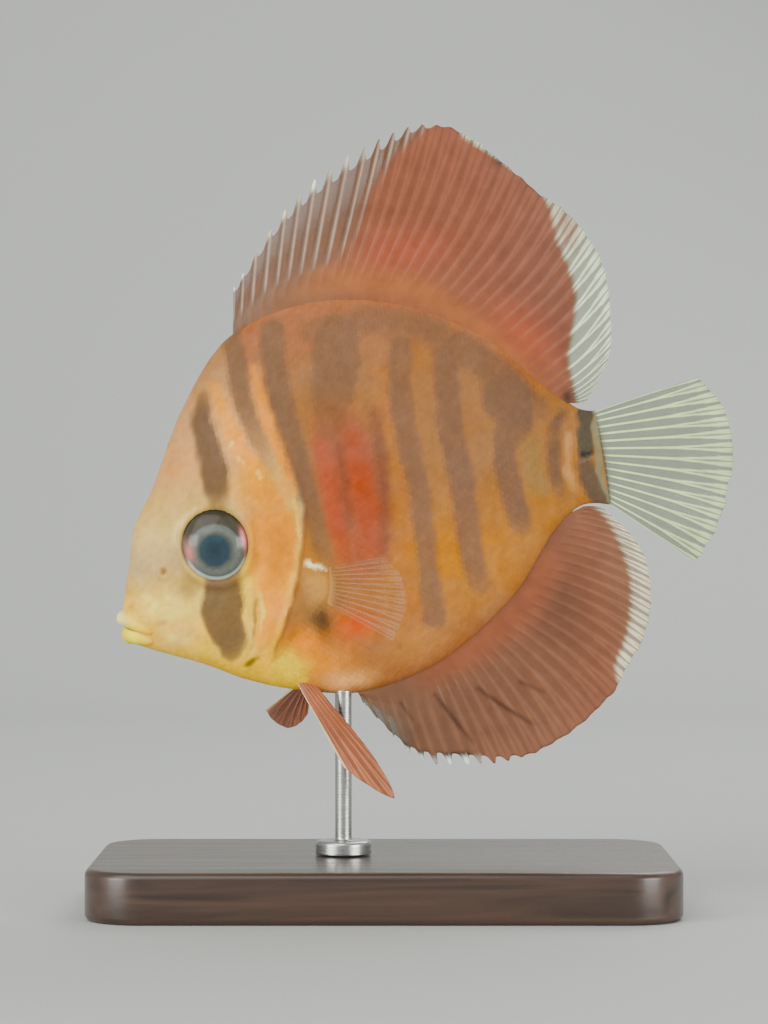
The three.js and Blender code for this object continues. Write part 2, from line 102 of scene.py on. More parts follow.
def spline(points):
    """A smooth cubic curve through rows of points, as a function of 0 to 1 that takes arrays."""
    points = np.asarray(points, float)
    padded = np.vstack([points[:1], points, points[-1:]])

    def curve(t):
        place = np.clip(np.asarray(t, float), 0, 1) * (len(points) - 1)
        i = np.minimum(place.astype(int), len(points) - 2)
        f = (place - i)[..., None]
        before, start, end, after = (padded[i + k] for k in range(4))
        v0 = (end - before) / 2
        v1 = (after - start) / 2
        cubic = 2 * start - 2 * end + v0 + v1
        square = -3 * start + 3 * end - 2 * v0 - v1
        return cubic * f**3 + square * f**2 + v0 * f + start

    return curve


def to_world(points):
    """Turns the fish's millimetres into the world's metres: a pitch about Y, then a shift."""
    c, s = math.cos(NOSE_DOWN), math.sin(NOSE_DOWN)
    x, y, z = points[..., 0], points[..., 1], points[..., 2]
    world = np.stack([x * c - z * s, y, x * s + z * c], axis=-1)
    return (world + FISH_ORIGIN) / 1000


def srgb(red, green, blue):
    """A display colour of 0 to 255 as linear light."""
    c = np.array([red, green, blue], float) / 255
    return np.where(c <= 0.04045, c / 12.92, ((c + 0.055) / 1.055) ** 2.4)


# The render's film curve: how it mixes the channels, its S-curve's weights from the sixth power down, and
# the stops that the S-curve spans
FILM_MIX = np.array([[0.8425, 0.0784, 0.0792], [0.0423, 0.8785, 0.0792], [0.0424, 0.0784, 0.8791]])
FILM_CURVE = [15.5, -40.14, 31.96, -6.868, 0.4298, 0.1191, -0.00232]
FILM_STOPS = (-12.474, 4.026)
STAGE_LIGHT = np.array([2.0, 1.58, 1.5])  # how brightly the stage lights a white flank
SHEEN = 0.015  # what the skin's gloss adds to it
BRIGHTEST = 0.93  # the most of any channel that a paint throws back


def pigment(red, green, blue):
    """The paint that shows as a display colour of 0 to 255 under this stage's light.

    The film curve is undone: the channels are mixed, the S-curve is read backwards, its stops are raised
    to light and the mix is undone. The sheen is then taken off and the stage's light divided out. A colour
    too bright for any paint is dimmed in small steps, as it stands, until a paint can show it.
    """
    steps = np.linspace(0, 1, 2000)
    curve = np.maximum.accumulate(np.polyval(FILM_CURVE, steps))
    for dim in np.linspace(1, 0.6, 41):
        shown = FILM_MIX @ (dim * np.array([red, green, blue], float) / 255)
        light = 2 ** lerp(*FILM_STOPS, np.interp(shown, curve, steps))
        paint_mix = (np.linalg.inv(FILM_MIX) @ light - SHEEN) / STAGE_LIGHT
        if paint_mix.max() < BRIGHTEST:
            break
    return np.clip(paint_mix, 0.002, 0.95)


def blend(under, over, amount):
    """Lays one colour over another by a mask."""
    return under + (np.asarray(over) - under) * np.asarray(amount)[..., None]


def ladder(value, steps):
    """Colours read off a ladder of (value, display colour) steps, blended between them."""
    places = [step[0] for step in steps]
    paints = np.array([pigment(*step[1]) for step in steps])
    return np.stack([np.interp(value, places, paints[:, k]) for k in range(3)], -1)


def mottle(x, z, size, seed):
    """Smooth random values about 0: the mean of waves about one size long, in seeded directions."""
    rng = np.random.default_rng(seed)
    total = np.zeros_like(x)
    angles, lengths, phases = rng.uniform(0, 6.28, 9), rng.uniform(0.7, 1.6, 9), rng.uniform(0, 6.28, 9)
    for angle, length, phase in zip(angles, lengths, phases):
        across = x * math.cos(angle) + z * math.sin(angle)
        total += np.cos(2 * np.pi * across / (size * length) + phase)
    return total / 4


def grid_quads(rows, columns, ring=False):
    """The quads of a grid of rows by columns points, closed round each row when ring is true."""
    i, j = np.meshgrid(np.arange(rows - 1), np.arange(columns if ring else columns - 1), indexing="ij")
    k = (j + 1) % columns
    corners = [i * columns + j, i * columns + k, (i + 1) * columns + k, (i + 1) * columns + j]
    return np.stack(corners, -1).reshape(-1, 4)


def capped_ring(rows, columns):
    """The triangles of a tube of rows rings, closed by two points that follow the grid's own."""
    quads = grid_quads(rows, columns, ring=True)
    j = np.arange(columns)
    k = (j + 1) % columns
    last = (rows - 1) * columns
    start, end = rows * columns, rows * columns + 1
    first_cap = np.stack([np.full(columns, start), k, j], 1)
    last_cap = np.stack([np.full(columns, end), last + j, last + k], 1)
    return np.vstack([quads[:, [0, 1, 2]], quads[:, [0, 2, 3]], first_cap, last_cap])


def make_piece(name, points, faces, replaces, material, colours=None, alpha=None, bake_uv=None):
    """A mesh piece from world points and quads or triangles, its colour and alpha stored on its points."""
    mesh = bpy.data.meshes.new(name)
    corners = faces.shape[1]
    mesh.vertices.add(len(points))
    mesh.vertices.foreach_set("co", points.astype(np.float32).ravel())
    mesh.loops.add(faces.size)
    mesh.loops.foreach_set("vertex_index", faces.astype(np.int32).ravel())
    mesh.polygons.add(len(faces))
    mesh.polygons.foreach_set("loop_start", np.arange(0, faces.size, corners, dtype=np.int32))
    mesh.update(calc_edges=True)
    mesh.polygons.foreach_set("use_smooth", np.ones(len(faces), bool))
    if colours is not None:
        shade = np.ones((len(points), 4), np.float32)
        shade[:, :3] = colours
        mesh.attributes.new("tint", "FLOAT_COLOR", "POINT").data.foreach_set("color", shade.ravel())
    if alpha is not None:
        mesh.attributes.new("clear", "FLOAT", "POINT").data.foreach_set("value", alpha.astype(np.float32))
    if bake_uv is not None:
        layer = mesh.uv_layers.new(name="OFBake")
        layer.uv.foreach_set("vector", bake_uv[faces.ravel()].astype(np.float32).ravel())
    mesh.validate()
    piece = bpy.data.objects.new(name, mesh)
    bpy.context.collection.objects.link(piece)
    mesh.materials.append(material)
    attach(piece, "root")
    if replaces:
        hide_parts(*replaces)
    return piece


# Flesh surface

body_line = spline(STATIONS)


def flesh(s, turn):
    """The plain flank: a section from back to belly at s, a superellipse whose turn starts at the back."""
    row = body_line(s)
    level, side = np.cos(turn), np.sin(turn)
    up = (1 + level) / 2
    power = 2 * lerp(BELLY_RIDGE, row[..., 5], up)
    x = lerp(row[..., 2], row[..., 0], up)
    z = lerp(row[..., 3], row[..., 1], up)
    y = row[..., 4] * np.sign(side) * np.abs(side) ** power
    return np.stack([x, y, z], axis=-1)


def surface_frame(function, s, turn):
    """A surface's points and outward unit normals by differences of the function itself."""
    step_s, step_t = 0.0015, 0.004
    along = function(np.clip(s + step_s, 0, 1), turn) - function(np.clip(s - step_s, 0, 1), turn)
    across = function(s, turn + step_t) - function(s, turn - step_t)
    normal = np.cross(along, across)
    normal /= np.maximum(np.linalg.norm(normal, axis=-1, keepdims=True), 1e-9)
    return function(s, turn), normal


def ahead_of(edge, x, z):
    """How far a side-view place lies ahead of a line drawn from top to bottom, along x."""
    line = spline(edge)(np.linspace(0, 1, 80))[::-1]
    return np.interp(z, line[:, 1], line[:, 0]) - x


def stroke(x, z, points, soft=1.0):
    """A mask of 0 to 1 along a line of places, each with its own half width and strength."""
    line = spline(points)(np.linspace(0, 1, 8 * len(points)))
    mask = np.zeros_like(x)
    for start, end in zip(line[:-1], line[1:]):
        run = end[:2] - start[:2]
        f = np.clip(((x - start[0]) * run[0] + (z - start[1]) * run[1]) / max(run @ run, 1e-9), 0, 1)
        away = np.hypot(x - start[0] - f * run[0], z - start[1] - f * run[1])
        half = lerp(start[2], end[2], f)
        mask = np.maximum(mask, lerp(start[3], end[3], f) * (1 - smooth(away, half - soft, half + soft)))
    return mask


def spot(x, z, cx, cz, wide, tall, lean=0.0):
    """A soft oval mask, 1 at its middle."""
    dx, dz = x - cx - lean * (z - cz), z - cz
    return np.exp(-((dx / wide) ** 2) - (dz / tall) ** 2)


def hump(value, middle, width):
    """A smooth hump, 1 at its middle and nearly 0 two widths away."""
    return np.exp(-(((value - middle) / width) ** 2))


def eye_distance(x, z):
    """Distance from the eye's centre in the side view, with the eye's height brought to its width."""
    return np.hypot(x - EYE["x"], (z - EYE["z"]) * EYE["radius"] / EYE["tall"])


def relief(x, z):
    """Height of the skin over the plain flank.

    The gill cover swells to a stepped rear edge with fine ribs, the cheek ends in a ridge and a groove, the
    eye sits in a ringed hollow under a fold, the snout has nostrils and a fold behind the lips, and a faint
    lateral line runs above the middle of the flank.
    """
    ahead = ahead_of(GILL_EDGE, x, z)
    level = smooth(z, -27, -18) * (1 - smooth(z, 8, 20))
    height = 0.55 * (1 - smooth(ahead, 0.5, 9)) * level * smooth(ahead, -0.15, 0.25)
    height -= 0.1 * hump(ahead, -0.45, 0.3464) * level
    height -= 0.12 * hump(ahead, 1.5, 0.4) * level
    height += 0.035 * np.sin(2.1 * ahead + 0.35 * z) * spot(x, z, -17.2, -3.5, 3.2, 6.5)
    cheek = ahead_of(CHEEK_EDGE, x, z)
    cheek_level = smooth(z, -26, -20) * (1 - smooth(z, 1, 6))
    height += 0.16 * (1 - smooth(np.abs(cheek), 0, 1.6)) * cheek_level
    height -= 0.24 * hump(cheek, -0.9, 0.5) * cheek_level
    ring = eye_distance(x, z)
    height += 0.62 * hump(ring, 6.6, 0.62)
    height -= 0.22 * hump(ring, 8.2, 0.8)
    height -= 2.0 * (1 - smooth(ring, 5.0, 6.2))
    height += 0.3 * stroke(x, z, ORBIT_FOLD, 0.7)
    height += 0.28 * stroke(x, z, LIP_FOLD, 0.8)
    height += 0.3 * stroke(x, z, PECTORAL_LOBE, 1.2)
    nose = np.hypot(x - NOSTRIL[0], z - NOSTRIL[1])
    height += 0.28 * hump(nose, 1.05, 0.4) - 0.85 * (1 - smooth(nose, 0.3, 0.75))
    lateral = z - 12.5 - 6.0 * hump(x, 2.0, 16.0) + 0.2 * (x + 10)
    height -= 0.05 * hump(lateral, 0, 0.4472) * (1 - smooth(ahead, -2, 0)) * (1 - smooth(x, 30, 40))
    height += 0.03 * mottle(x, z, 3.2, 11)
    return height


def skin(s, turn):
    """The skin: the flank moved along its own normal by the relief, less the depth kept for the scales."""
    plain, normal = surface_frame(flesh, s, turn)
    lift = relief(plain[..., 0], plain[..., 2]) - SKIN_DEPTH
    return plain + normal * lift[..., None]


# Markings, painted from the side view in display colours. A line's places are x, z, half width, strength.

# The brown bars, from the one through the eye to the one on the tail stalk
BARS = [
    [
        (-25.6, 24.3, 0.9, 0.6), (-26.6, 20.8, 1.7, 1), (-26.8, 17.7, 2.1, 1), (-26.4, 13.5, 2.4, 1),
        (-26.2, 9.8, 2.5, 1), (-26.4, 7, 2.4, 0.9), (-26.6, 5, 2, 0.4),
    ],
    [
        (-28.2, -8.6, 3.2, 0.9), (-29, -12.3, 3.8, 1), (-29.8, -15.6, 3.7, 1), (-29.2, -18.9, 3.2, 1),
        (-29.5, -21.4, 2.2, 0.9),
    ],
    [
        (-18.6, 33.5, 1.8, 0.8), (-18.8, 27.4, 1.9, 0.95), (-18.7, 22, 1.8, 0.9), (-18, 17, 1.6, 0.75),
        (-17, 12.4, 1.4, 0.5), (-16.3, 9, 1.2, 0.25),
    ],
    [
        (-11.4, 33.1, 2.2, 1), (-12, 27.6, 2.2, 1), (-12, 19.5, 2.2, 1), (-11.4, 12.2, 2.1, 0.95),
        (-10.9, 7, 1.9, 0.95), (-10.3, -0.2, 1.8, 0.9), (-10, -5.4, 1.6, 0.85), (-9.5, -9.6, 1.4, 0.5),
    ],
    [(-0.2, 30, 4.2, 1), (-1.6, 24, 4.2, 1), (-3.2, 18.8, 3.6, 0.7), (-4.4, 13, 2.4, 0.3)],
    [
        (10.7, 26.2, 2, 1), (9.4, 19.9, 2, 1), (8.6, 12.9, 2, 1), (8.8, 6.2, 2, 1), (8.9, -1.4, 1.9, 1),
        (8.4, -9, 1.9, 1), (7.7, -16.5, 1.9, 1), (7.3, -22.6, 2.2, 0.9),
    ],
    [
        (18.2, 22.8, 2.4, 1), (17.1, 14.8, 2.3, 1), (16.6, 6.8, 2.3, 1), (16.7, -0.4, 2.3, 1),
        (16.3, -7.9, 2.2, 1), (16, -14.5, 2.1, 0.95), (16.6, -18.7, 1.8, 0.6),
    ],
    [
        (27.6, 13.4, 4.6, 1), (28.4, 9.4, 3.4, 0.9), (25.6, 5.1, 2.1, 0.9), (25, 0.6, 2.2, 1),
        (25.2, -2.4, 2.2, 1), (25.5, -7.1, 2.1, 0.95), (25.9, -9.9, 1.8, 0.6),
    ],
    [
        (37.1, 8.7, 0.9, 0.6), (35.4, 7.2, 1.1, 0.9), (34.5, 4.9, 1.2, 0.5), (34.1, 2.8, 1.4, 0.9),
        (33.6, 0.2, 1.3, 0.9), (33.6, -2.6, 1.2, 0.85), (33.9, -5.4, 1, 0.4),
    ],
]
BACK_BAND = [
    (-5, 31.6, 2, 0.8), (1, 31.8, 2.4, 0.95), (8.6, 31.2, 2.6, 1), (15, 28.8, 2.8, 1), (20, 24.6, 3, 1),
    (24.8, 20.4, 3.2, 1), (29, 15.2, 3.2, 1), (32.4, 10.6, 2.4, 0.7),
]
ORANGE_BACK = [
    (-13.3, 36.3, 1.6, 0.3), (-7.5, 38.5, 2.2, 0.6), (0.9, 40.1, 2.6, 1), (9.1, 37.9, 2.6, 1),
    (16.1, 34.9, 2.4, 1), (22.1, 29.5, 2.2, 1), (27.4, 23.6, 2, 1), (32.7, 15, 1.6, 0.8),
]
ORANGE_BELLY = [
    (4.6, -32.4, 2.6, 0.8), (11.2, -30.4, 2.8, 1), (17.7, -27.4, 2.8, 1), (23.3, -24, 2.6, 1),
    (27, -20.1, 2.4, 1), (29.8, -16.5, 2, 0.8),
]
FLANK_LADDER = [
    (-34, (182, 120, 80)), (-24, (190, 130, 80)), (-10, (194, 138, 82)), (8, (187, 133, 86)),
    (22, (185, 131, 88)), (32, (190, 128, 92)),
]
BAR_LADDER = [
    (-30, (144, 107, 79)), (-10, (160, 116, 88)), (10, (165, 118, 90)), (28, (156, 112, 88)),
    (36, (140, 104, 84)),
]
FACE_LADDER = [
    (-27, (252, 212, 50)), (-22, (252, 222, 96)), (-17, (250, 217, 135)), (-12, (248, 222, 148)),
    (-8, (214, 182, 112)), (-4, (204, 176, 134)), (1, (214, 190, 142)), (7, (212, 180, 130)),
    (12, (214, 172, 127)), (20, (208, 166, 126)), (30, (196, 150, 110)),
]
# Soft ovals: display colour, strength, and an oval of centre, half width and half height
FLANK_SPOTS = [
    ((200, 142, 78), 0.8, (12, -14, 16, 9)), ((226, 166, 82), 0.8, (-13.5, -27.6, 4.6, 3.2)),
    ((236, 196, 150), 0.7, (-10.2, -31.2, 4.6, 1.8)), ((206, 146, 76), 0.7, (4.7, -27.4, 5, 4)),
    ((214, 108, 70), 0.85, (-6.7, -21.3, 4, 2.8)), ((160, 118, 68), 0.7, (-14.2, -19, 3, 4.5)),
]
# Lines: display colour, strength, softness, places
FLANK_LINES = [
    ((196, 134, 82), 0.9, 1.2, [
        (6, 22.1, 1.2, 0.7), (5.6, 14.5, 1.3, 1), (5.9, 6.8, 1.3, 1), (5.4, -0.8, 1.4, 1),
        (4, -10.7, 1.5, 1), (3.1, -23.2, 1.6, 0.8),
    ]),
    ((184, 130, 88), 0.7, 1.4, [
        (21.6, 17, 1.2, 0.8), (20.8, 8, 1.6, 1), (20.8, -2, 1.5, 0.8), (21, -9, 1.4, 0.5),
    ]),
    ((178, 138, 92), 0.9, 1.3, [(30.3, 4, 1.6, 0.9), (29.6, 0.2, 1.9, 1), (30.4, -3.6, 1.8, 0.9)]),
    ((206, 162, 116), 0.9, 0.6, [
        (37.2, 4.4, 0.7, 0.9), (36.2, 0.6, 0.6, 0.8), (35.8, -2.1, 0.8, 1), (36.4, -4.6, 0.6, 0.6),
    ]),
    ((188, 114, 86), 0.95, 1.8, [
        (-3.4, 15, 4.2, 0.6), (-2.8, 9, 5.4, 1), (-2.8, 0, 5.6, 1), (-3, -8, 5, 1), (-3.2, -11, 4.2, 0.4),
    ]),
    ((200, 110, 82), 0.85, 1.3, [
        (-7, 11.3, 1.2, 0.8), (-6.6, 4.1, 1.6, 1), (-6.8, -3.5, 1.5, 0.9), (-6.8, -8.6, 1.2, 0.3),
    ]),
    ((196, 106, 78), 0.85, 1.4, [
        (-0.9, 11.2, 1.6, 0.9), (-1, 4.1, 2.1, 1), (-1.1, -3, 2, 0.9), (-1.6, -8, 1.6, 0.6),
    ]),
    ((170, 100, 78), 0.7, 0.9, [(-3.5, 10.7, 0.8, 0.9), (-3.9, 3.6, 0.9, 1), (-4.4, -3.9, 0.9, 0.8)]),
    ((164, 100, 78), 0.8, 1.1, [
        (3.9, 14.8, 1.1, 0.9), (3.4, 7.3, 1.2, 1), (2.7, -0.2, 1.2, 1), (1.3, -7.6, 1.1, 0.8),
        (-0.2, -11.4, 0.9, 0.4),
    ]),
    ((206, 138, 88), 0.9, 2.2, ORANGE_BACK),
    ((182, 116, 80), 0.6, 2.8, ORANGE_BELLY),
]
SNOUT_GLINTS = [
    (-42.7, -9.7, 0.7, 0.6), (-38.7, -10.4, 0.6, 0.6), (-38.9, -13.4, 1.3, 1), (-41.2, -11.6, 1.1, 1),
    (-36, -13.4, 1, 0.7), (-39.7, -17.5, 1, 0.9), (-37.2, -18.2, 0.9, 0.9),
]
# The head's ovals
FACE_SPOTS = [
    ((226, 184, 130), 0.8, (-22, 5.8, 3.4, 2.2)),
    ((182, 150, 84), 0.85, (-34.8, -9.2, 2.6, 2.4)),
    ((206, 166, 92), 0.8, (-40.8, -14.6, 2, 1)),
    ((220, 176, 92), 0.8, (-45.4, -10.6, 1.4, 1.4)),
    ((255, 244, 140), 0.9, (-46.3, -16.1, 1, 1)),
    ((246, 212, 160), 0.7, (-38.6, -17.6, 2.6, 1.8)),
    *[((252, 234, 160), 0.8, glint) for glint in SNOUT_GLINTS],
    ((200, 176, 142), 0.6, (-43.1, -3.6, 2, 3)),
]
# The head's lines: gill cover, a painted highlight along its rim, creases of the cheek, a painted
# highlight along the fold over the eye, and painted shade in the mouth's line between the lips
FACE_LINES = [
    ((224, 172, 70), 0.9, 1.8, [
        (-21.6, 10, 1.4, 0.5), (-20.4, 5, 2.4, 1), (-20.3, -1, 2.4, 1), (-21, -6.5, 1.8, 0.9),
    ]),
    ((228, 170, 44), 0.95, 2.2, [
        (-17.2, 4.5, 2.8, 0.9), (-17, -1.4, 3.8, 1), (-17.8, -5.3, 4, 1), (-18.9, -9.2, 3.8, 1),
        (-20.1, -13, 3.4, 1), (-21.2, -16.9, 2.8, 1), (-23.2, -20.6, 2.4, 0.9),
    ]),
    ((218, 156, 34), 0.8, 1.4, [(-16.9, -2.6, 1.6, 0.9), (-17.7, -7, 1.8, 1), (-19, -11, 1.2, 0.5)]),
    # A cream line along the gill cover's rim: a painted highlight
    ((252, 220, 140), 0.6, 0.3, [
        (-12.4, 6.7, 0.2, 0.4), (-13.4, -1.7, 0.3, 1), (-13.7, -4.9, 0.25, 0.8), (-14.8, -7.9, 0.2, 0.3),
    ]),
    ((252, 222, 140), 0.85, 0.35, [
        (-24.9, -9.4, 0.3, 0.5), (-24.5, -12.6, 0.4, 1), (-25.4, -15.6, 0.3, 0.9),
        (-25.4, -19.3, 0.35, 0.9), (-25.4, -22.6, 0.3, 0.5),
    ]),
    ((150, 142, 84), 0.8, 0.35, [
        (-23.2, -13.6, 0.3, 0.8), (-24, -16.3, 0.35, 1), (-25.1, -19.8, 0.25, 0.8),
    ]),
    ((252, 230, 150), 0.85, 0.3, [
        (-22.4, -12.6, 0.25, 0.8), (-22.7, -16.2, 0.3, 1), (-23.5, -19.3, 0.2, 0.6),
    ]),
    # A pale line along the fold over the eye: a painted highlight
    ((244, 224, 180), 0.85, 0.5, [
        (-30.6, 4.3, 0.3, 0.4), (-33.2, 3.2, 0.4, 1), (-35, 1.3, 0.45, 1), (-36.1, -1.3, 0.3, 0.4),
    ]),
    # A dark line between the lips: painted shade in the mouth's seam
    ((120, 92, 56), 0.9, 0.3, [
        (-48.2, -13.4, 0.3, 1), (-46.8, -14.4, 0.3, 1), (-45.4, -15.5, 0.25, 0.8), (-43.6, -16.7, 0.2, 0.4),
    ]),
]
NAPE_FLECKS = [[(-22.8, 14), (-22, 14.7)], [(-21.4, 11.7), (-20.7, 10.8)], [(-18.5, 8.9), (-18.1, 7.4)]]
# Lines over head and flank alike: golden bands of the nape, throat, pectoral root
CROSSING_LINES = [
    ((244, 188, 104), 0.95, 1, [
        (-23.3, 25.1, 1, 0.5), (-22.6, 20.1, 1.4, 0.8), (-21.9, 16.3, 1.6, 1), (-20.8, 12.4, 1.6, 1),
        (-18.9, 9.6, 1.5, 0.9), (-18.2, 7, 1.2, 0.6),
    ]),
    ((226, 168, 92), 0.95, 0.9, [
        (-16, 26.9, 1, 0.6), (-15.4, 19.5, 1.2, 0.9), (-14.7, 14.9, 1.3, 1), (-13.5, 10.6, 1.3, 1),
        (-13, 6.8, 1.2, 0.9), (-13, 3.5, 1, 0.5),
    ]),
    *[((254, 228, 160), 0.8, 0.3, [(*end, 0.25, 0.8) for end in fleck]) for fleck in NAPE_FLECKS],
    ((250, 218, 44), 0.9, 1.6, [
        (-43.3, -19.1, 0.8, 0.6), (-35.7, -22.4, 1.4, 0.9), (-29.8, -25.6, 1.8, 1), (-24.5, -27.8, 2.4, 1),
        (-20.5, -28.6, 3, 1),
    ]),
    ((204, 158, 98), 0.9, 1.2, PECTORAL_LOBE),
]
# Marks laid over the bars; the dark spot under the pectoral's root is a painted shadow
MARK_SPOTS = [
    ((252, 226, 56), 0.9, (-19.6, -26.4, 3, 3)), ((232, 166, 80), 0.7, (-16, -22.8, 2.4, 2.6)),
    # A dark spot under the pectoral's root: a painted shadow
    ((104, 72, 52), 0.85, (-12.3, -19.3, 1.8, 2.6)),
]
# Tail bar in two halves, its dark and pale streaks, stalk end, throat crease, and a cream line that is
# a painted highlight along the top of the pectoral's root
MARK_LINES = [
    ((112, 98, 80), 0.95, 0.5, [(40.9, 7.9, 1.4, 1), (40.2, 4.1, 1.4, 1), (39.5, 0.9, 1.4, 1)]),
    ((122, 98, 82), 0.9, 0.7, [
        (39.2, -1.4, 1.6, 0.9), (39.6, -3.7, 1.9, 1), (40.6, -7.2, 1.9, 1), (40.9, -9, 1.8, 0.9),
    ]),
    ((62, 56, 50), 0.85, 0.3, [(38.6, 0.4, 0.3, 0.8), (39.6, 0.6, 0.45, 1), (40.6, 0.8, 0.3, 0.8)]),
    ((168, 140, 112), 0.7, 0.25, [(38.4, -0.6, 0.2, 0.5), (40.6, -0.3, 0.25, 0.8)]),
    ((160, 148, 118), 0.9, 0.4, [
        (42.7, 8.2, 0.5, 1), (41.7, 0, 0.6, 1), (41.5, -3.7, 0.5, 0.9), (42.4, -8.6, 0.4, 0.8),
    ]),
    ((120, 96, 40), 0.85, 0.4, [
        (-27.9, -24.7, 0.4, 0.5), (-26.4, -24.4, 0.7, 1), (-24.9, -24.1, 0.5, 0.8),
    ]),
    # A cream line along the top of the pectoral's root: a painted highlight
    ((255, 240, 208), 0.95, 0.3, [
        (-13.3, -8.7, 0.25, 0.7), (-12, -9.4, 0.45, 1), (-10.9, -10.1, 0.4, 1), (-10, -10.7, 0.25, 0.7),
    ]),
]


def lay(colour, x, z, lines):
    """Lays a table of lines over a colour, in order."""
    for shade, strength, soft, places in lines:
        colour = blend(colour, pigment(*shade), strength * stroke(x, z, places, soft))
    return colour


def dab(colour, x, z, spots):
    """Lays a table of soft ovals over a colour, in order."""
    for shade, strength, oval in spots:
        colour = blend(colour, pigment(*shade), strength * spot(x, z, *oval))
    return colour


def paint(points):
    """The fish's colours at fish-frame points: flank, head ahead of the gill edge, bars, then marks.

    The places are read through a slow waver of 0.2 mm, so that no edge runs ruler-straight. The lower
    flank, which turns away from the light, is painted up to a third brighter.
    """
    level_x, level_z = points[..., 0], points[..., 2]
    x = level_x + 0.22 * mottle(level_x, level_z, 2.6, 5)
    z = level_z + 0.22 * mottle(level_x, level_z, 3.0, 6)
    flank = lay(dab(ladder(z, FLANK_LADDER), x, z, FLANK_SPOTS), x, z, FLANK_LINES)
    face = lay(dab(ladder(z, FACE_LADDER), x, z, FACE_SPOTS), x, z, FACE_LINES)
    colour = blend(flank, face, smooth(ahead_of(GILL_EDGE, x, z), -0.3, 0.5))
    colour = lay(colour, x, z, CROSSING_LINES)
    brown = np.max([stroke(x, z, bar, 0.8) for bar in BARS], axis=0)
    brown = np.maximum(brown, 0.85 * stroke(x, z, BACK_BAND, 1.5))
    colour = blend(colour, ladder(x, BAR_LADDER), 0.95 * brown)
    colour = lay(dab(colour, x, z, MARK_SPOTS), x, z, MARK_LINES)
    # Painted light: the lower flank, which lies in shade, is painted brighter, and behind the head a faint
    # painted sheen is added to it
    low = smooth(-level_z, -4, 20)
    gain = np.minimum(1 + 0.3 * low, BRIGHTEST / np.maximum(colour.max(axis=-1), 0.01))
    lift = 0.008 * low * smooth(level_x, -14, -4)
    colour = colour * np.maximum(gain, 1)[..., None] + lift[..., None]
    return colour * (1 + 0.04 * mottle(level_x, level_z, 1.5, 8))[..., None]


# Materials


def set_sockets(node, settings):
    """Sets a node's own sockets, whose names' spaces are written as underscores."""
    for key, value in settings.items():
        node.inputs[key.replace("_", " ")].default_value = value
    return node


def new_material(name, **settings):
    """A Principled material, its node tree and its shader node."""
    material = bpy.data.materials.new(name)
    material.use_nodes = True
    tree = material.node_tree
    return material, tree, set_sockets(tree.nodes["Principled BSDF"], settings)


def add_node(tree, kind, **settings):
    """A new shader node of a kind, with its sockets set."""
    return set_sockets(tree.nodes.new("ShaderNode" + kind), settings)


def noise(tree, scale, detail=3.0, rough=0.55, stretch=None, **settings):
    """A noise texture read from Object coordinates, which a stretch scales along each axis."""
    source = add_node(tree, "TexCoord").outputs["Object"]
    if stretch:
        mapping = add_node(tree, "Mapping", Scale=stretch)
        tree.links.new(source, mapping.inputs["Vector"])
        source = mapping.outputs["Vector"]
    texture = add_node(tree, "TexNoise", Scale=scale, Detail=detail, Roughness=rough, **settings)
    tree.links.new(source, texture.inputs["Vector"])
    return texture.outputs["Fac"]


def ranged(tree, value, low, high):
    """A noise, which keeps mostly within 0.3 to 0.7, brought to another range."""
    node = add_node(tree, "MapRange", From_Min=0.3, From_Max=0.7, To_Min=low, To_Max=high)
    tree.links.new(value, node.inputs["Value"])
    return node.outputs["Result"]


def painted(tree, shader, brightness, saturation=None):
    """Gives the shader the colour painted on the points, varied by a brightness and a saturation."""
    attribute = add_node(tree, "Attribute")
    attribute.attribute_name = "tint"
    hue = add_node(tree, "HueSaturation")
    tree.links.new(attribute.outputs["Color"], hue.inputs["Color"])
    tree.links.new(brightness, hue.inputs["Value"])
    if saturation:
        tree.links.new(saturation, hue.inputs["Saturation"])
    tree.links.new(hue.outputs["Color"], shader.inputs["Base Color"])


def bump(tree, shader, height, strength, distance):
    """Tilts the shader's normal by a height, its distance in metres."""
    node = add_node(tree, "Bump", Strength=strength, Distance=distance)
    tree.links.new(height, node.inputs["Height"])
    tree.links.new(node.outputs["Normal"], shader.inputs["Normal"])


def skin_material(name, roughness, pores):
    """Moist skin: painted colour with fine speckle, pores and a thin coat."""
    looks = {"Coat_Weight": 0.03, "Coat_Roughness": 0.22, "Specular_IOR_Level": 0.12}
    looks |= {"Subsurface_Weight": 0.05, "Subsurface_Scale": 0.001}
    material, tree, shader = new_material(name, **looks)
    speckle = noise(tree, 420.0)
    blotches = noise(tree, 90.0)
    painted(tree, shader, ranged(tree, speckle, 0.9, 1.1), ranged(tree, blotches, 0.94, 1.06))
    wetness = noise(tree, 700.0)
    tree.links.new(ranged(tree, wetness, roughness - 0.08, roughness + 0.1), shader.inputs["Roughness"])
    bump(tree, shader, noise(tree, 1500.0, 4.0), pores, 0.0004)
    return material


def fin_material():
    """Fin skin: painted colour with fine speckle, and the painted clearness as its alpha."""
    looks = {"Roughness": 0.4, "Coat_Weight": 0.04, "Specular_IOR_Level": 0.2}
    material, tree, shader = new_material("fin", **looks)
    painted(tree, shader, ranged(tree, noise(tree, 300.0), 0.88, 1.12))
    attribute = add_node(tree, "Attribute")
    attribute.attribute_name = "clear"
    tree.links.new(attribute.outputs["Fac"], shader.inputs["Alpha"])
    bump(tree, shader, noise(tree, 900.0), 0.25, 0.0003)
    return material


def eye_material():
    """A glassy eye: painted rings with fine speckle under a clear coat."""
    looks = {"Roughness": 0.2, "Coat_Weight": 0.2, "Coat_Roughness": 0.05, "Specular_IOR_Level": 0.12}
    material, tree, shader = new_material("eye", **looks)
    painted(tree, shader, ranged(tree, noise(tree, 900.0, 5.0), 0.86, 1.14))
    return material


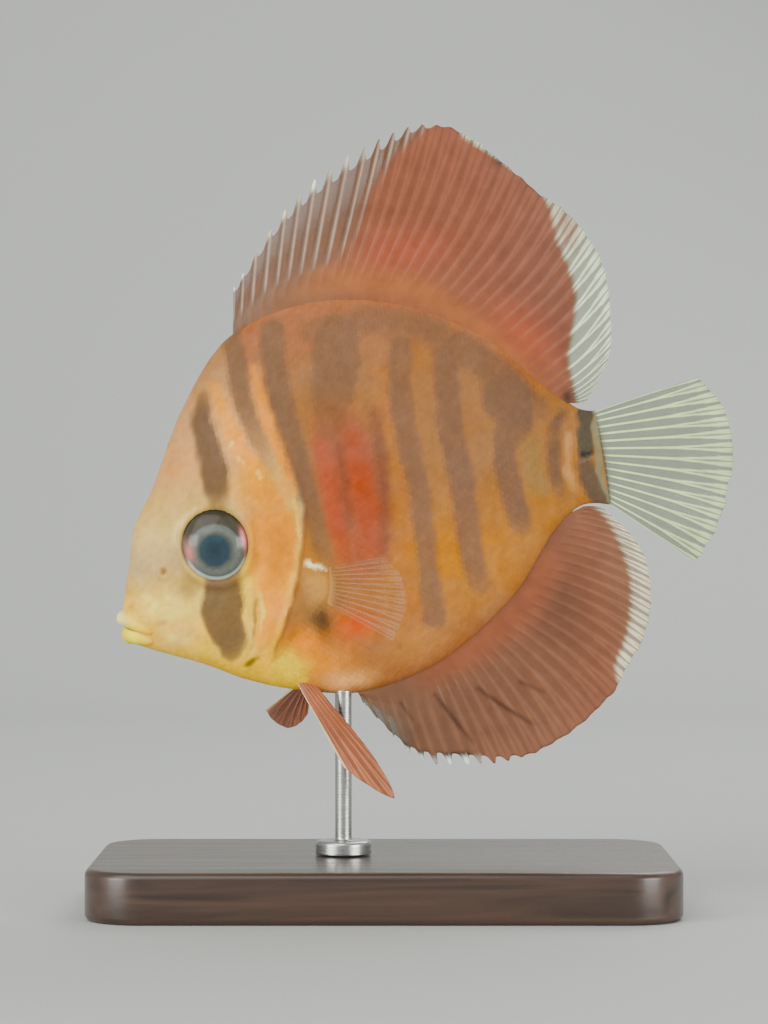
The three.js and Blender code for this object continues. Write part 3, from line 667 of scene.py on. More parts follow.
def wood_material():
    """Dark stained wood: noise stretched into grain along X, which also bumps the surface, and a satin
    varnish.
    """
    material, tree, shader = new_material("stand_wood", Coat_Weight=0.35, Coat_Roughness=0.22)
    grain = noise(tree, 1.0, 8.0, 0.5, (18.0, 260.0, 260.0), Distortion=0.7)
    ramp = add_node(tree, "ValToRGB")
    for step, place, stain in ((0, 0.3, (36, 24, 17)), (1, 0.72, (78, 53, 36))):
        ramp.color_ramp.elements[step].position = place
        ramp.color_ramp.elements[step].color = (*srgb(*stain), 1)
    tree.links.new(grain, ramp.inputs["Fac"])
    tree.links.new(ramp.outputs["Color"], shader.inputs["Base Color"])
    tree.links.new(ranged(tree, grain, 0.3, 0.48), shader.inputs["Roughness"])
    bump(tree, shader, grain, 0.15, 0.0003)
    return material


def steel_material():
    """Brushed steel: fine noise stretched round the rod."""
    metal = {"Metallic": 1.0, "Base_Color": (*srgb(176, 176, 172), 1)}
    material, tree, shader = new_material("stand_steel", **metal)
    lines = noise(tree, 1.0, 2.0, 0.5, (300.0, 300.0, 5000.0))
    tree.links.new(ranged(tree, lines, 0.22, 0.4), shader.inputs["Roughness"])
    bump(tree, shader, lines, 0.08, 0.0002)
    return material


SKIN_LOOK = skin_material("skin", 0.5, 0.35)
SCALE_LOOK = skin_material("scales", 0.47, 0.15)
LIP_LOOK = skin_material("lips", 0.4, 0.3)
FIN_LOOK = fin_material()
EYE_LOOK = eye_material()


# Skin


def make_skin():
    """One closed surface over head, jaw, trunk and tail stalk, denser towards the snout."""
    rows, columns = 440, 220
    s = (np.arange(rows + 1) / rows) ** 1.2
    s[0] = 1e-4
    turn = np.arange(columns) * 2 * np.pi / columns
    grid_s, grid_turn = np.meshgrid(s, turn, indexing="ij")
    points = skin(grid_s, grid_turn)
    colours = paint(points)
    ends = np.stack([points[0].mean(axis=0), points[-1].mean(axis=0)])
    end_colours = np.stack([colours[0].mean(axis=0), colours[-1].mean(axis=0)])
    points = np.vstack([points.reshape(-1, 3), ends])
    colours = np.vstack([colours.reshape(-1, 3), end_colours])
    faces = capped_ring(rows + 1, columns)
    nodes = ["head", "lower_jaw", "trunk", "tail_stalk"]
    return make_piece("skin", to_world(points), faces, nodes, SKIN_LOOK, colours)


def flank_lengths():
    """Lengths along the flank's middle at each of FLANK_S, and arc lengths round half of each section."""
    middle = flesh(FLANK_S, np.full_like(FLANK_S, np.pi / 2))
    along = np.concatenate([[0], np.cumsum(np.linalg.norm(np.diff(middle, axis=0), axis=1))])
    sections = flesh(*np.meshgrid(FLANK_S, FLANK_TURNS, indexing="ij"))
    steps = np.linalg.norm(np.diff(sections, axis=1), axis=-1)
    return along, np.concatenate([np.zeros((len(FLANK_S), 1)), np.cumsum(steps, axis=1)], axis=1)


FLANK_S = np.linspace(0.02, 0.985, 900)
FLANK_TURNS = np.linspace(0, np.pi, 121)
ALONG, ARCS = flank_lengths()


def turn_at(s, lateral):
    """The turn whose arc length from the middle of the flank is lateral, at s."""
    row = np.clip(np.searchsorted(FLANK_S, s), 0, len(FLANK_S) - 1)
    table = ARCS[row]
    wanted = table[..., -1] / 2 - lateral
    k = np.clip((table < wanted[..., None]).sum(-1) - 1, 0, len(FLANK_TURNS) - 2)
    low = np.take_along_axis(table, k[..., None], -1)[..., 0]
    high = np.take_along_axis(table, k[..., None] + 1, -1)[..., 0]
    part = (wanted - low) / np.maximum(high - low, 1e-9)
    return FLANK_TURNS[k] + part * (FLANK_TURNS[1] - FLANK_TURNS[0])


def has_scales(x, z):
    """A mask of the places where scales grow: flank, nape, gill cover and the cheek under the eye."""
    ahead = ahead_of(GILL_EDGE, x, z)
    on_body = (ahead < -0.9) & (x < 40.5)
    nape = (ahead > 0.6) & (z > 9) & (x > -27)
    cover = (ahead > 1.2) & (z > -22) & (z <= 9) & (x > -22.5)
    cheek = (x > -33) & (x < -24.5) & (z < -9.5) & (z > -21) & (eye_distance(x, z) > 8.6)
    return on_body | nape | cover | cheek


def scale_roots(rng):
    """A staggered lattice over one flank, kept where scales grow: s, arc length from its middle, place."""
    pitch = SCALE_SPACING * 0.62
    i, j = np.meshgrid(np.arange(int(ALONG[-1] / pitch)), np.arange(-66, 67), indexing="ij")
    staggered = (i + j) % 2 == 0
    along = i[staggered] * pitch + rng.normal(0, 0.04, staggered.sum())
    level = j[staggered] * SCALE_SPACING * 0.5 + rng.normal(0, 0.03, staggered.sum())
    s = np.interp(along, ALONG, FLANK_S)
    inside = np.abs(level) < np.interp(s, FLANK_S, ARCS[:, -1] / 2) - 0.7
    s, level = s[inside], level[inside]
    root = flesh(s, turn_at(s, level))
    kept = has_scales(root[:, 0], root[:, 2])
    return s[kept], level[kept], root[kept]


def make_scales(side):
    """Small overlapping plates over one flank.

    Each plate is five by five points, rounded at its rear edge and crowned across, and its root lies under
    the plates in front of it. Plates on the head lie flatter and are smaller.
    """
    rng = np.random.default_rng(7)
    s_root, level, root = scale_roots(rng)
    x, z = root[:, 0], root[:, 2]
    on_head = ahead_of(GILL_EDGE, x, z) > 0
    size = np.where(on_head, 0.85, 1.0) * lerp(1.0, 0.78, smooth(x, 20, 42))
    lift = np.where(on_head, 0.4, 0.75) * rng.uniform(0.85, 1.15, len(s_root))
    # u runs from a plate's hidden root to its rear edge and v across it
    across = np.linspace(-1, 1, 5)
    grid_u, grid_v = np.meshgrid([0.0, 0.4, 0.75, 0.93, 1.0], across, indexing="ij")
    outline = np.sqrt(np.clip(1 - np.clip(grid_u - 0.35, 0, 1) ** 2 / 0.4225, 0.02, 1))
    rear = (grid_u * 1.75 - 0.35) * SCALE_SPACING * 0.72
    wide = grid_v * outline * SCALE_SPACING * 0.56
    speed = np.interp(s_root, FLANK_S, np.gradient(ALONG, FLANK_S))
    each = np.s_[:, None, None]
    s_all = np.clip(s_root[each] + rear * size[each] / speed[each], 0.01, 0.998)
    turn = turn_at(s_all, level[each] + wide * size[each])
    turn = np.clip(turn, 0.02, np.pi - 0.02)
    if side < 0:
        turn = 2 * np.pi - turn
    points, normal = surface_frame(skin, s_all, turn)
    crown = (-0.05 + 0.11 * grid_u**0.8) * (1 - 0.35 * grid_v**2)
    crown = np.where(grid_u > 0.99, crown - 0.06, crown)
    outward = points + normal * (crown * lift[each])[..., None]
    middles = points[:, 2:3, 2:3, :]
    colours = paint(lerp(points, middles, 0.5))
    # Each plate is painted darker towards its root, as painted shade under the plate in front, and a little
    # lighter at its rear edge
    edge = 0.03 * smooth(grid_u, 0.55, 1.0) - 0.05 * (1 - smooth(grid_u, 0.15, 0.55))
    colours = colours * (1 + edge[None, ..., None]) * rng.uniform(0.97, 1.03, (len(points), 1, 1, 1))
    quads = grid_quads(5, 5)
    if side > 0:
        quads = quads[:, ::-1]
    faces = (np.arange(len(points))[each] * grid_u.size + quads).reshape(-1, 4)
    # Each plate has a small patch of its own on the map that colours are baked to
    patch = np.stack([grid_u, (grid_v + 1) / 2], -1)[None] * 0.003
    where = np.stack([s_root, turn[:, 2, 2] / (2 * np.pi)], -1)[:, None, None, :] * 0.99
    bake = (where + patch).reshape(-1, 2)
    name = "scales_left" if side < 0 else "scales_right"
    world, colours = to_world(outward.reshape(-1, 3)), colours.reshape(-1, 3)
    return make_piece(name, world, faces, [], SCALE_LOOK, colours, bake_uv=bake)


# Lips and eyes


def flank_half(x, z):
    """Half width of the flesh at a side-view place, by halving s until the section passes through it."""
    low, high = 0.0, 1.0
    for _ in range(30):
        s = (low + high) / 2
        row = body_line(np.array([s]))[0]
        behind = (x - row[2]) * (row[1] - row[3]) - (z - row[3]) * (row[0] - row[2]) > 0
        low, high = (s, high) if behind else (low, s)
    row = body_line(np.array([low]))[0]
    up = min(max((z - row[3]) / (row[1] - row[3]), 0), 1)
    return float(flesh(np.array([low]), np.array([math.acos(2 * up - 1)]))[0, 1])


UPPER_LIP = {"front": (-47.5, -12.4), "corner": (-42.9, -16.0), "thick": 1.35}
LOWER_LIP = {"front": (-46.8, -15.5), "corner": (-43.2, -17.6), "thick": 1.7}
# The upper lip is painted whitish at its front: a painted highlight
UPPER_LIP_LADDER = [(-49, (246, 238, 206)), (-46.5, (246, 224, 150)), (-43, (240, 206, 124))]
LOWER_LIP_LADDER = [(-49, (240, 214, 130)), (-46.5, (255, 242, 140)), (-43, (236, 206, 130))]


def make_lip(name, lip, steps_of_colour):
    """A soft roll bent round the front of the mouth, sunk into the cheek at its corners, finely folded."""
    steps, sides = 110, 32
    front, corner = lip["front"], lip["corner"]
    wide = flank_half(*corner) - 0.35
    t = np.linspace(0, 1, steps + 1)
    turn = lerp(-np.pi / 2, np.pi / 2, t)
    back = 1 - np.cos(turn)
    x, z = lerp(front[0], corner[0], back), lerp(front[1], corner[1], back)
    line = np.stack([x, wide * np.sin(turn), z], 1)
    along = np.gradient(line, axis=0)
    along /= np.linalg.norm(along, axis=1, keepdims=True)
    side = np.cross([0, 0, 1], along)
    side /= np.linalg.norm(side, axis=1, keepdims=True)
    up = np.cross(along, side)
    radius = lerp(0.3, lip["thick"], np.sin(np.pi * t) ** 0.6)
    angle = np.arange(sides) * 2 * np.pi / sides
    fold = 1 + 0.025 * np.sin(60 * turn)[:, None] * np.ones(sides)
    spoke = side[:, None] * np.cos(angle)[:, None] + up[:, None] * np.sin(angle)[:, None]
    points = line[:, None] + spoke * (radius[:, None] * fold)[..., None]
    points = np.vstack([points.reshape(-1, 3), line[0], line[-1]])
    faces = capped_ring(steps + 1, sides)[:, ::-1]
    colours = ladder(points[:, 0], steps_of_colour)
    return make_piece(name, to_world(points), faces, [], LIP_LOOK, colours)


def make_eye(side):
    """The eyeball: an ellipsoid painted with a pupil, a grey iris, a brown band above and pink sides."""
    rows, columns = 110, 128
    polar = np.linspace(0, np.pi, rows + 1)
    angle = np.arange(columns) * 2 * np.pi / columns
    grid_p, grid_a = np.meshgrid(polar, angle, indexing="ij")
    rim = np.sin(grid_p)
    unit = np.stack([rim * np.cos(grid_a), side * np.cos(grid_p), rim * np.sin(grid_a)], -1)
    size = np.array([EYE["radius"], EYE["deep"], EYE["tall"]])
    centre = np.array([EYE["x"], side * EYE["y"], EYE["z"]])
    points = centre + unit * size
    x, z = points[..., 0] - EYE["x"], points[..., 2] - EYE["z"]
    ring = np.hypot(x, z * EYE["radius"] / EYE["tall"])
    away = np.hypot(x - PUPIL["x"], z - PUPIL["z"])
    colour = np.zeros(points.shape) + pigment(134, 126, 114)
    colour = blend(colour, pigment(142, 138, 130), smooth(away, 3.2, 3.8) * (1 - smooth(away, 4.2, 4.9)))
    colour = blend(colour, pigment(112, 98, 84), smooth(away, 4.5, 4.9) * smooth(z + 0.15 * x, 0.2, 1.6))
    colour = blend(colour, pigment(92, 80, 68), smooth(z + 0.15 * x, 4.2, 5.6))
    colour = blend(colour, pigment(208, 152, 144), spot(x, z, -4.9, -0.5, 0.8, 1.9))
    colour = blend(colour, pigment(236, 186, 190), spot(x, z, 5.1, 0.2, 0.5, 1.8))
    colour = blend(colour, pigment(196, 196, 190), smooth(-z - 0.1 * x, 1.5, 3.5) * smooth(ring, 5.2, 5.6))
    colour = blend(colour, pigment(84, 97, 104), 1 - smooth(away, 2.4, 3.4))
    colour = blend(colour, pigment(70, 83, 92), spot(x, z, PUPIL["x"], PUPIL["z"], 1.6, 1.6))
    # A dark line round the eye's upper rear rim, where it meets its socket: painted shade
    colour = blend(colour, pigment(44, 38, 32), smooth(ring, 5.65, 5.9) * smooth(z + 0.6 * x, -1, 1))
    quads = grid_quads(rows + 1, columns, ring=True)
    if side < 0:
        quads = quads[:, ::-1]
    name = "eye_left" if side < 0 else "eye_right"
    points, colour = points.reshape(-1, 3), colour.reshape(-1, 3)
    return make_piece(name, to_world(points), quads, [name], EYE_LOOK, colour)


# Fins: roots and tips in the fish's frame, and the side-view lines their colours follow

DORSAL_ROOT = [
    (-18.5, 34.3), (-10, 37.2), (-1, 37.5), (8, 35.8), (18.2, 31.2), (28, 23.2), (36.2, 12.9), (39, 10.2),
]
DORSAL_TIP = [
    (-16.8, 42.2), (-4.2, 55), (9.8, 62.2), (25.6, 64), (38.5, 51.4), (48.4, 37.8), (48.2, 20), (41.6, 9.9),
]
ANAL_ROOT = [
    (-8.7, -33.8), (-3, -33.7), (3.8, -32.1), (11.4, -29), (19, -24.6), (26, -18.4), (32, -11.7),
    (37.8, -8.5),
]
ANAL_TIP = [
    (-8, -35.8), (-1, -46.8), (7.2, -49.9), (20.6, -50.6), (35.4, -43.6), (45, -31.4), (46.6, -19.2),
    (41, -9.4),
]
CAUDAL_ROOT = [(42.3, 7.8), (42.5, -0.6), (42.1, -8.8)]
CAUDAL_TIP = [(63, 10.6), (66.4, 4), (66.6, -3.2), (64.4, -10.8), (61, -17), (56, -22.4)]
PECTORAL_ROOT = [(-9.6, -7.2, -10.4), (-9.9, -7.2, -13.6), (-10.8, -7, -16.8)]
PECTORAL_TIP = [(0.8, -21.4, -10.2), (3, -22.6, -14.6), (2.6, -22.2, -20), (-0.6, -19.4, -25)]
PELVIC_LEFT_ROOT = [(-18.8, -1.9, -30.6), (-17.2, -2.4, -31.2), (-15.6, -1.9, -31.4)]
PELVIC_LEFT_TIP = [
    (-13.6, -5.8, -46), (-10.2, -7.2, -49.8), (-5.6, -8.4, -53.2), (-7.4, -7, -46.6), (-10.4, -5.4, -40.6),
]
PELVIC_RIGHT_ROOT = [(-19.6, 1.9, -30.4), (-18.2, 2.4, -30.9), (-16.8, 1.9, -31.1)]
PELVIC_RIGHT_TIP = [
    (-26.4, 15.6, -34.2), (-25.6, 20.4, -36.8), (-23.4, 22.6, -38.8), (-20.6, 17.4, -38),
    (-18.8, 12.4, -36.4),
]
SPINY_SHARE = 0.3

DORSAL_RED_EDGE = [
    (28.2, 61.2), (35.9, 53.7), (39.9, 49.2), (41.3, 45.2), (41.3, 39.8), (42.4, 34.2), (42.7, 28.7),
    (41.1, 23.6), (39.2, 18), (39.2, 13.7),
]
ANAL_RED_EDGE = [
    (38.7, -9), (40.4, -11.4), (41.8, -15.9), (42.5, -20.6), (42.4, -24.3), (41.2, -29.5), (39.6, -33.4),
    (37, -37.4),
]
DUSKY_EDGE = [(23.7, 63.1), (17.6, 59.5), (12.3, 54), (7.6, 46.8), (3.7, 43.3), (-2.3, 42.2), (-9.9, 40)]
DORSAL_LADDER = [
    (-18, (150, 118, 100)), (-4, (162, 120, 98)), (10, (176, 112, 86)), (30, (172, 110, 88)),
    (46, (166, 112, 92)),
]
ANAL_LADDER = [
    (-8, (160, 116, 92)), (8, (158, 110, 86)), (24, (166, 114, 90)), (36, (172, 116, 92)),
    (46, (170, 124, 100)),
]
DORSAL_TIPS = [1, 0.9, 0.2, 0.5, 0.7, 0.3, 1, 0.3, 0.4, 0.2, 0]
ANAL_TIPS = [0.7, 0.2, 0.9, 1, 0.9, 0.3, 1, 1, 0.2, 0]
ANAL_STREAKS = [
    [(-1.5, -37, 0.3, 0.8), (-0.1, -40.2, 0.25, 0.6)],
    [(4.8, -36.6, 0.3, 0.7), (7.1, -41.2, 0.35, 1), (9.8, -46.3, 0.25, 0.6)],
    [(12.5, -36.9, 0.3, 0.7), (17, -41.5, 0.35, 1), (20.9, -45.1, 0.25, 0.6)],
    [(20.3, -37.3, 0.3, 0.7), (24, -39.9, 0.25, 0.5)],
]


def on_midline(points):
    """A spline of side-view points, laid in the fish's middle plane."""
    flat = spline(points)
    return lambda s: np.stack([flat(s)[..., 0], 0 * s, flat(s)[..., 1]], -1)


def fin_middle(root, tip, bow, sway):
    """A fin's middle surface: straight rays from root(s) to tip(s), bowed along the fin and swayed across."""

    def middle(s, v):
        start, end = root(s), tip(s)
        line = start + (end - start) * v[..., None]
        if bow:
            bend = bow * smooth(s, 0.2, 0.6) * np.sin(np.pi * np.clip(v, 0, 1))
            run = end - start
            line = line + np.stack([-bend * run[..., 2], 0 * bend, bend * run[..., 0]], -1)
        if sway is not None:
            line[..., 1] += sway(s, v)
        return line

    return middle


def ray_ridges(frac, reach, soft):
    """Height of 0 to 1 over a ray: one ridge at its root that forks twice towards the edge."""
    fork = soft * 0.22 * smooth(reach, 0.42, 0.95)
    twig = soft * 0.1 * smooth(reach, 0.75, 1.0)
    width = lerp(0.2, 0.1, np.clip(reach * soft, 0, 1))
    offsets = [frac - outer * fork - inner * twig for outer in (-1, 1) for inner in (-1, 1)]
    return np.max([hump(off, 0, width) for off in offsets], axis=0)


def closed_plate(rows, columns):
    """The quads of two grids back to back, the second behind the first, joined round their rims."""
    quads = grid_quads(rows, columns)
    back = rows * columns
    bottom = np.arange(columns)
    left = np.arange(rows) * columns
    top, right = bottom + back - columns, left + columns - 1
    rim = []
    for line, flip in ((bottom, False), (top, True), (left, True), (right, False)):
        strip = np.stack([line[:-1], line[1:], line[1:] + back, line[:-1] + back], 1)
        rim.append(strip if flip else strip[:, ::-1])
    return np.vstack([quads, quads[:, ::-1] + back, *rim])[:, ::-1]


def fin_surface(name, root, tip, spines, rays, nodes, slot, painter, **form):
    """A fin as a closed thin plate: ridges run along its rays, and the membrane stops short between spines.

    Twelve columns follow each ray. A fleshy sheath thickens the root, and the edge wavers by a hundredth.
    """
    rows, per, total = 60, 12, spines + rays
    notch, thick, sheath = form.get("notch", 0), form.get("thick", 0.32), form.get("sheath", 0)
    seed = form["seed"]
    phase = np.linspace(0, total, total * per + 1)
    if spines:
        front = SPINY_SHARE * phase / spines
        s = np.where(phase < spines, front, SPINY_SHARE + (1 - SPINY_SHARE) * (phase - spines) / rays)
        soft = smooth(phase, spines - 0.5, spines + 2.0)
        deep = notch * (1 - smooth(s, 0.75 * SPINY_SHARE, 1.5 * SPINY_SHARE))
    else:
        s, soft, deep = phase / total, np.ones_like(phase), 0 * phase
    frac = phase - np.round(phase)
    between = np.sin(np.pi * np.abs(frac))
    lengths = np.random.default_rng(seed).normal(0, 0.008, total + 1)
    uneven = np.abs(np.interp(phase, np.arange(total + 1), lengths))
    uneven += 0.012 * np.abs(mottle(phase, 0 * phase, 4.0, seed))
    outer = 1 - deep * smooth(between, 0.12, 0.95) - soft * (0.008 * between**2 + uneven)
    v = np.linspace(-0.1, 1, rows + 1)[:, None] * np.ones_like(s)
    v = np.where(v > 0, v * outer, v)
    middle = fin_middle(root, tip, form.get("bow", 0), form.get("sway"))
    grid_s = np.ones_like(v) * s
    centre = middle(grid_s, v)
    along = middle(grid_s, v + 0.01) - centre
    across = middle(np.clip(grid_s + 0.004, 0, 1), v) - middle(np.clip(grid_s - 0.004, 0, 1), v)
    normal = np.cross(along, across)
    normal /= np.maximum(np.linalg.norm(normal, axis=-1, keepdims=True), 1e-9)
    reach = np.clip(v, 0, 1)
    ray = ray_ridges(frac, reach, soft)
    joints = 1 - 0.16 * soft * (0.5 + 0.5 * np.cos(2 * np.pi * reach * 34)) * smooth(reach, 0.25, 0.4)
    ridge = (thick * lerp(1.0, 0.36, reach) - 0.08) * ray * joints * smooth(reach, 0.02, 0.3)
    half = np.maximum(0.08 + sheath * (1 - smooth(reach, 0, 0.28)) + ridge, 0.07)
    colours, alpha = painter(reach, phase * np.ones_like(v), ray, centre[..., 0], centre[..., 2])
    points = np.stack([centre + normal * half[..., None], centre - normal * half[..., None]])
    colours = np.concatenate([colours.reshape(-1, 3)] * 2)
    alpha = np.concatenate([alpha.ravel()] * 2)
    faces = closed_plate(rows + 1, len(s))
    return make_piece(name, to_world(points.reshape(-1, 3)), faces, nodes, FIN_LOOK, colours, alpha)


def waves(count, size):
    """A sideways wave that grows towards the fin's edge."""
    return lambda s, v: size * np.clip(v, 0, 1) ** 2 * np.sin(2 * np.pi * count * s)


def caudal_sway(s, v):
    """The tail's bend to the fish's right, with two soft folds along the rays."""
    reach = np.clip(v, 0, 1)
    return 5 * reach**2 + 0.5 * reach * np.sin(4 * np.pi * s)


def ray_shade(colour, v, ray):
    """Lightens the rays and darkens the membrane between them, more beyond the sheath."""
    return colour * (1 + 0.3 * (ray - 0.45) * smooth(v, 0.15, 0.5))[..., None]


def of_spine(phase, glow):
    """Each spine's own strength, from a list that starts at the fin's front."""
    return np.interp(np.round(phase), range(len(glow)), glow)


def spine_tips(phase, v, ray, glow):
    """A mask over the spines' ends."""
    return of_spine(phase, glow) * smooth(ray, 0.3, 0.8) * smooth(v, 0.88, 0.95)


def membrane(ray, between, along, start=0.3):
    """The colour between the rays, going over to the colour along them."""
    return blend(np.zeros(ray.shape + (3,)) + pigment(*between), pigment(*along), smooth(ray, start, 0.9))


def paint_dorsal(v, phase, ray, x, z):
    """Red-brown with an orange foot, dusky between the spines, clear along the rear."""
    frac = phase - np.round(phase)
    colour = ladder(x, DORSAL_LADDER)
    bright = [((196, 110, 86), 0.7, (13.5, 42.6, 9, 4)), ((196, 108, 84), 0.7, (32.5, 23.5, 5, 6, -0.4))]
    colour = ray_shade(dab(colour, x, z, bright), v, ray)
    foot = np.maximum(0.65 * stroke(x, z, ORANGE_BACK, 1.8), 0.45 * ray * (1 - smooth(v, 0.08, 0.4)))
    colour = blend(colour, pigment(192, 128, 86), foot)
    dusky = smooth(ahead_of(DUSKY_EDGE, x, z), 0, 4) * smooth(v, 0.12, 0.4)
    colour = blend(colour, pigment(164, 118, 94), 0.9 * dusky)
    colour = blend(colour, pigment(122, 86, 70), 0.7 * dusky * hump(frac, -0.2, 0.12))
    colour = blend(colour, pigment(196, 178, 166), 0.85 * dusky * hump(frac, 0.12, 0.09))
    colour = blend(colour, pigment(236, 228, 214), spine_tips(phase, v, ray, DORSAL_TIPS))
    alpha = 1 - 0.45 * dusky * (1 - smooth(ray, 0.3, 0.8)) * smooth(v, 0.3, 0.8)
    clear = smooth(-ahead_of(DORSAL_RED_EDGE, x, z), 0, 1.4) * (1 - 0.7 * spot(x, z, 44.2, 42, 2.6, 4.5))
    margin = dab(0 * colour + pigment(170, 162, 132), x, z, [((196, 146, 122), 1, (44, 40.5, 2.4, 4))])
    margin = blend(margin, pigment(246, 242, 226), 0.9 * smooth(ray, 0.35, 0.9))
    colour = blend(colour, margin, clear)
    alpha = alpha * (1 - clear * lerp(0.65, 0.15, smooth(ray, 0.3, 0.9)))
    dark = [((84, 66, 50), 0.85, (38.4, 11.4, 1.1, 1.5)), ((96, 74, 66), 0.7, (34.4, 55.4, 1.2, 1.0))]
    return dab(colour, x, z, dark), alpha


def paint_anal(v, phase, ray, x, z):
    """Red-brown with an orange foot, dark streaks, white tipped spines and a clear rear margin."""
    colour = ladder(x, ANAL_LADDER)
    colour = ray_shade(dab(colour, x, z, [((148, 98, 78), 0.7, (30, -24, 6, 9))]), v, ray)
    colour = blend(colour, pigment(186, 116, 86), 0.7 * stroke(x, z, ORANGE_BELLY, 2.8))
    colour = lay(colour, x, z, [((98, 58, 46), 0.85, 0.5, streak) for streak in ANAL_STREAKS])
    front = (1 - smooth(phase, 1.6, 4.6)) * smooth(v, 0.25, 0.6)
    colour = blend(colour, pigment(150, 130, 112), 0.8 * front)
    tips = spine_tips(phase, v, ray, ANAL_TIPS)
    ring = of_spine(phase, ANAL_TIPS) * hump(v, 0.885, 0.028)
    colour = blend(colour, pigment(78, 54, 46), 0.75 * ring)
    colour = blend(colour, pigment(250, 250, 244), tips)
    clear = smooth(-ahead_of(ANAL_RED_EDGE, x, z), 0, 1.4)
    pale = 0.8 * smooth(ray, 0.35, 0.9)
    colour = blend(colour, blend(0 * colour + pigment(178, 146, 120), pigment(240, 230, 212), pale), clear)
    alpha = 1 - 0.4 * front * (1 - smooth(ray, 0.3, 0.8))
    return colour, alpha * (1 - clear * lerp(0.55, 0.15, smooth(ray, 0.3, 0.9)))


def paint_caudal(v, phase, ray, x, z):
    """Clear, with pale rays that fade towards their ends."""
    colour = membrane(ray, (150, 152, 120), (214, 212, 184))
    colour = blend(colour, pigment(150, 138, 108), 1 - smooth(v, 0.0, 0.05))
    alpha = lerp(0.42, 0.95 * (1 - 0.35 * v), smooth(ray, 0.25, 0.8))
    return colour, np.maximum(alpha, 1 - smooth(v, 0.0, 0.05))


def paint_pectoral(v, phase, ray, x, z):
    """Almost clear, peach at its root."""
    colour = membrane(ray, (186, 142, 120), (206, 170, 146))
    colour = blend(colour, pigment(204, 162, 112), 1 - smooth(v, 0.0, 0.2))
    alpha = lerp(0.14, 0.34, smooth(ray, 0.25, 0.8) * (1 - 0.4 * v))
    return colour, np.maximum(alpha, 0.95 * (1 - smooth(v, 0.0, 0.14)))


def paint_pelvic(v, phase, ray, x, z):
    """Salmon with pale rays, darker stripes between them and a pale front edge."""
    colour = membrane(ray, (186, 120, 88), (204, 146, 114), 0.4)
    stripes = hump(np.abs(phase - np.round(phase)), 0.4, 0.1) * smooth(v, 0.2, 0.5)
    colour = blend(colour, pigment(158, 92, 72), 0.5 * stripes)
    return blend(colour, pigment(232, 210, 186), 1 - smooth(phase, 0.15, 0.6)), np.full(v.shape, 0.97)


def paint_far_pelvic(v, phase, ray, x, z):
    """Darker than the near one, with the same pale front edge."""
    colour = membrane(ray, (190, 118, 82), (206, 140, 104), 0.4)
    return blend(colour, pigment(226, 206, 182), 1 - smooth(phase, 0.2, 0.7)), np.full(v.shape, 0.97)


def make_median_fins():
    """Dorsal, anal and tail fins."""
    dorsal_nodes = ["dorsal_fin_spiny", "dorsal_fin_soft"]
    anal_nodes = ["anal_fin_spiny", "anal_fin_soft"]
    form = {"sway": waves(2.2, 1.3), "bow": -0.05, "notch": 0.15, "sheath": 0.4, "seed": 3}
    root, tip = on_midline(DORSAL_ROOT), on_midline(DORSAL_TIP)
    fin_surface("dorsal_fin", root, tip, 9, 29, dorsal_nodes, "red_fin", paint_dorsal, **form)
    form = {"sway": waves(2.2, 1.3), "bow": 0.05, "notch": 0.14, "sheath": 0.4, "seed": 4}
    root, tip = on_midline(ANAL_ROOT), on_midline(ANAL_TIP)
    fin_surface("anal_fin", root, tip, 7, 27, anal_nodes, "red_fin", paint_anal, **form)
    form = {"sway": caudal_sway, "thick": 0.34, "sheath": 0.3, "seed": 5}
    root, tip = on_midline(CAUDAL_ROOT), on_midline(CAUDAL_TIP)
    fin_surface("caudal_fin", root, tip, 0, 15, ["caudal_fin"], "clear_fin", paint_caudal, **form)


def make_paired_fins():
    """Pectoral fins, alike on both sides, and pelvic fins, each held its own way."""
    for side, name in ((1, "pectoral_fin_left"), (-1, "pectoral_fin_right")):
        flip = np.array([1, side, 1])
        root, tip = spline(PECTORAL_ROOT * flip), spline(PECTORAL_TIP * flip)
        fin_surface(name, root, tip, 0, 12, [name], "clear_fin", paint_pectoral, thick=0.24, seed=6)
    for name, start, end, painter in (
        ("pelvic_fin_left", PELVIC_LEFT_ROOT, PELVIC_LEFT_TIP, paint_pelvic),
        ("pelvic_fin_right", PELVIC_RIGHT_ROOT, PELVIC_RIGHT_TIP, paint_far_pelvic),
    ):
        root, tip = spline(start), spline(end)
        fin_surface(name, root, tip, 0, 6, [name], "pink_fin", painter, thick=0.36, sheath=0.1, seed=7)


# Stand


def rounded_outline(half_x, half_y, corner):
    """A rounded rectangle's corner centres and outward directions, counter-clockwise seen from above."""
    middles, outwards = [], []
    for quarter in range(4):
        angle = (quarter + np.linspace(0, 1, 13)) * np.pi / 2
        side = np.sign(np.array([math.cos(angle[6]), math.sin(angle[6])]))
        middles.append(np.tile(side * np.array([half_x - corner, half_y - corner]), (13, 1)))
        outwards.append(np.stack([np.cos(angle), np.sin(angle)], 1))
    return np.vstack(middles), np.vstack(outwards)


def make_base():
    """The base: a rounded rectangle with eased edges, one ring of points for each step of its profile."""
    low, high = (np.array(corner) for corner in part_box("stand_base"))
    corner, ease = 0.0102, 0.0012
    centre, half = (low + high) / 2, (high - low) / 2
    middles, outwards = rounded_outline(half[0], half[1], corner)
    turn = np.linspace(0, np.pi / 2, 7)
    steps = [(0.0060, low[2]), (0.0020, low[2])]
    steps += [(ease * (1 - math.sin(a)), low[2] + ease * (1 - math.cos(a))) for a in turn]
    steps += [(ease * (1 - math.cos(a)), high[2] - ease * (1 - math.sin(a))) for a in turn]
    steps += [(0.0020, high[2]), (0.0060, high[2])]
    rings = []
    for inset, level in steps:
        flat = centre[:2] + middles + outwards * (corner - inset)
        rings.append(np.column_stack([flat, np.full(len(flat), level)]))
    ends = [[centre[0], centre[1], low[2]], [centre[0], centre[1], high[2]]]
    points = np.vstack([*rings, ends])
    faces = capped_ring(len(steps), len(middles))
    make_piece("base", points, faces, ["stand_base"], wood_material())


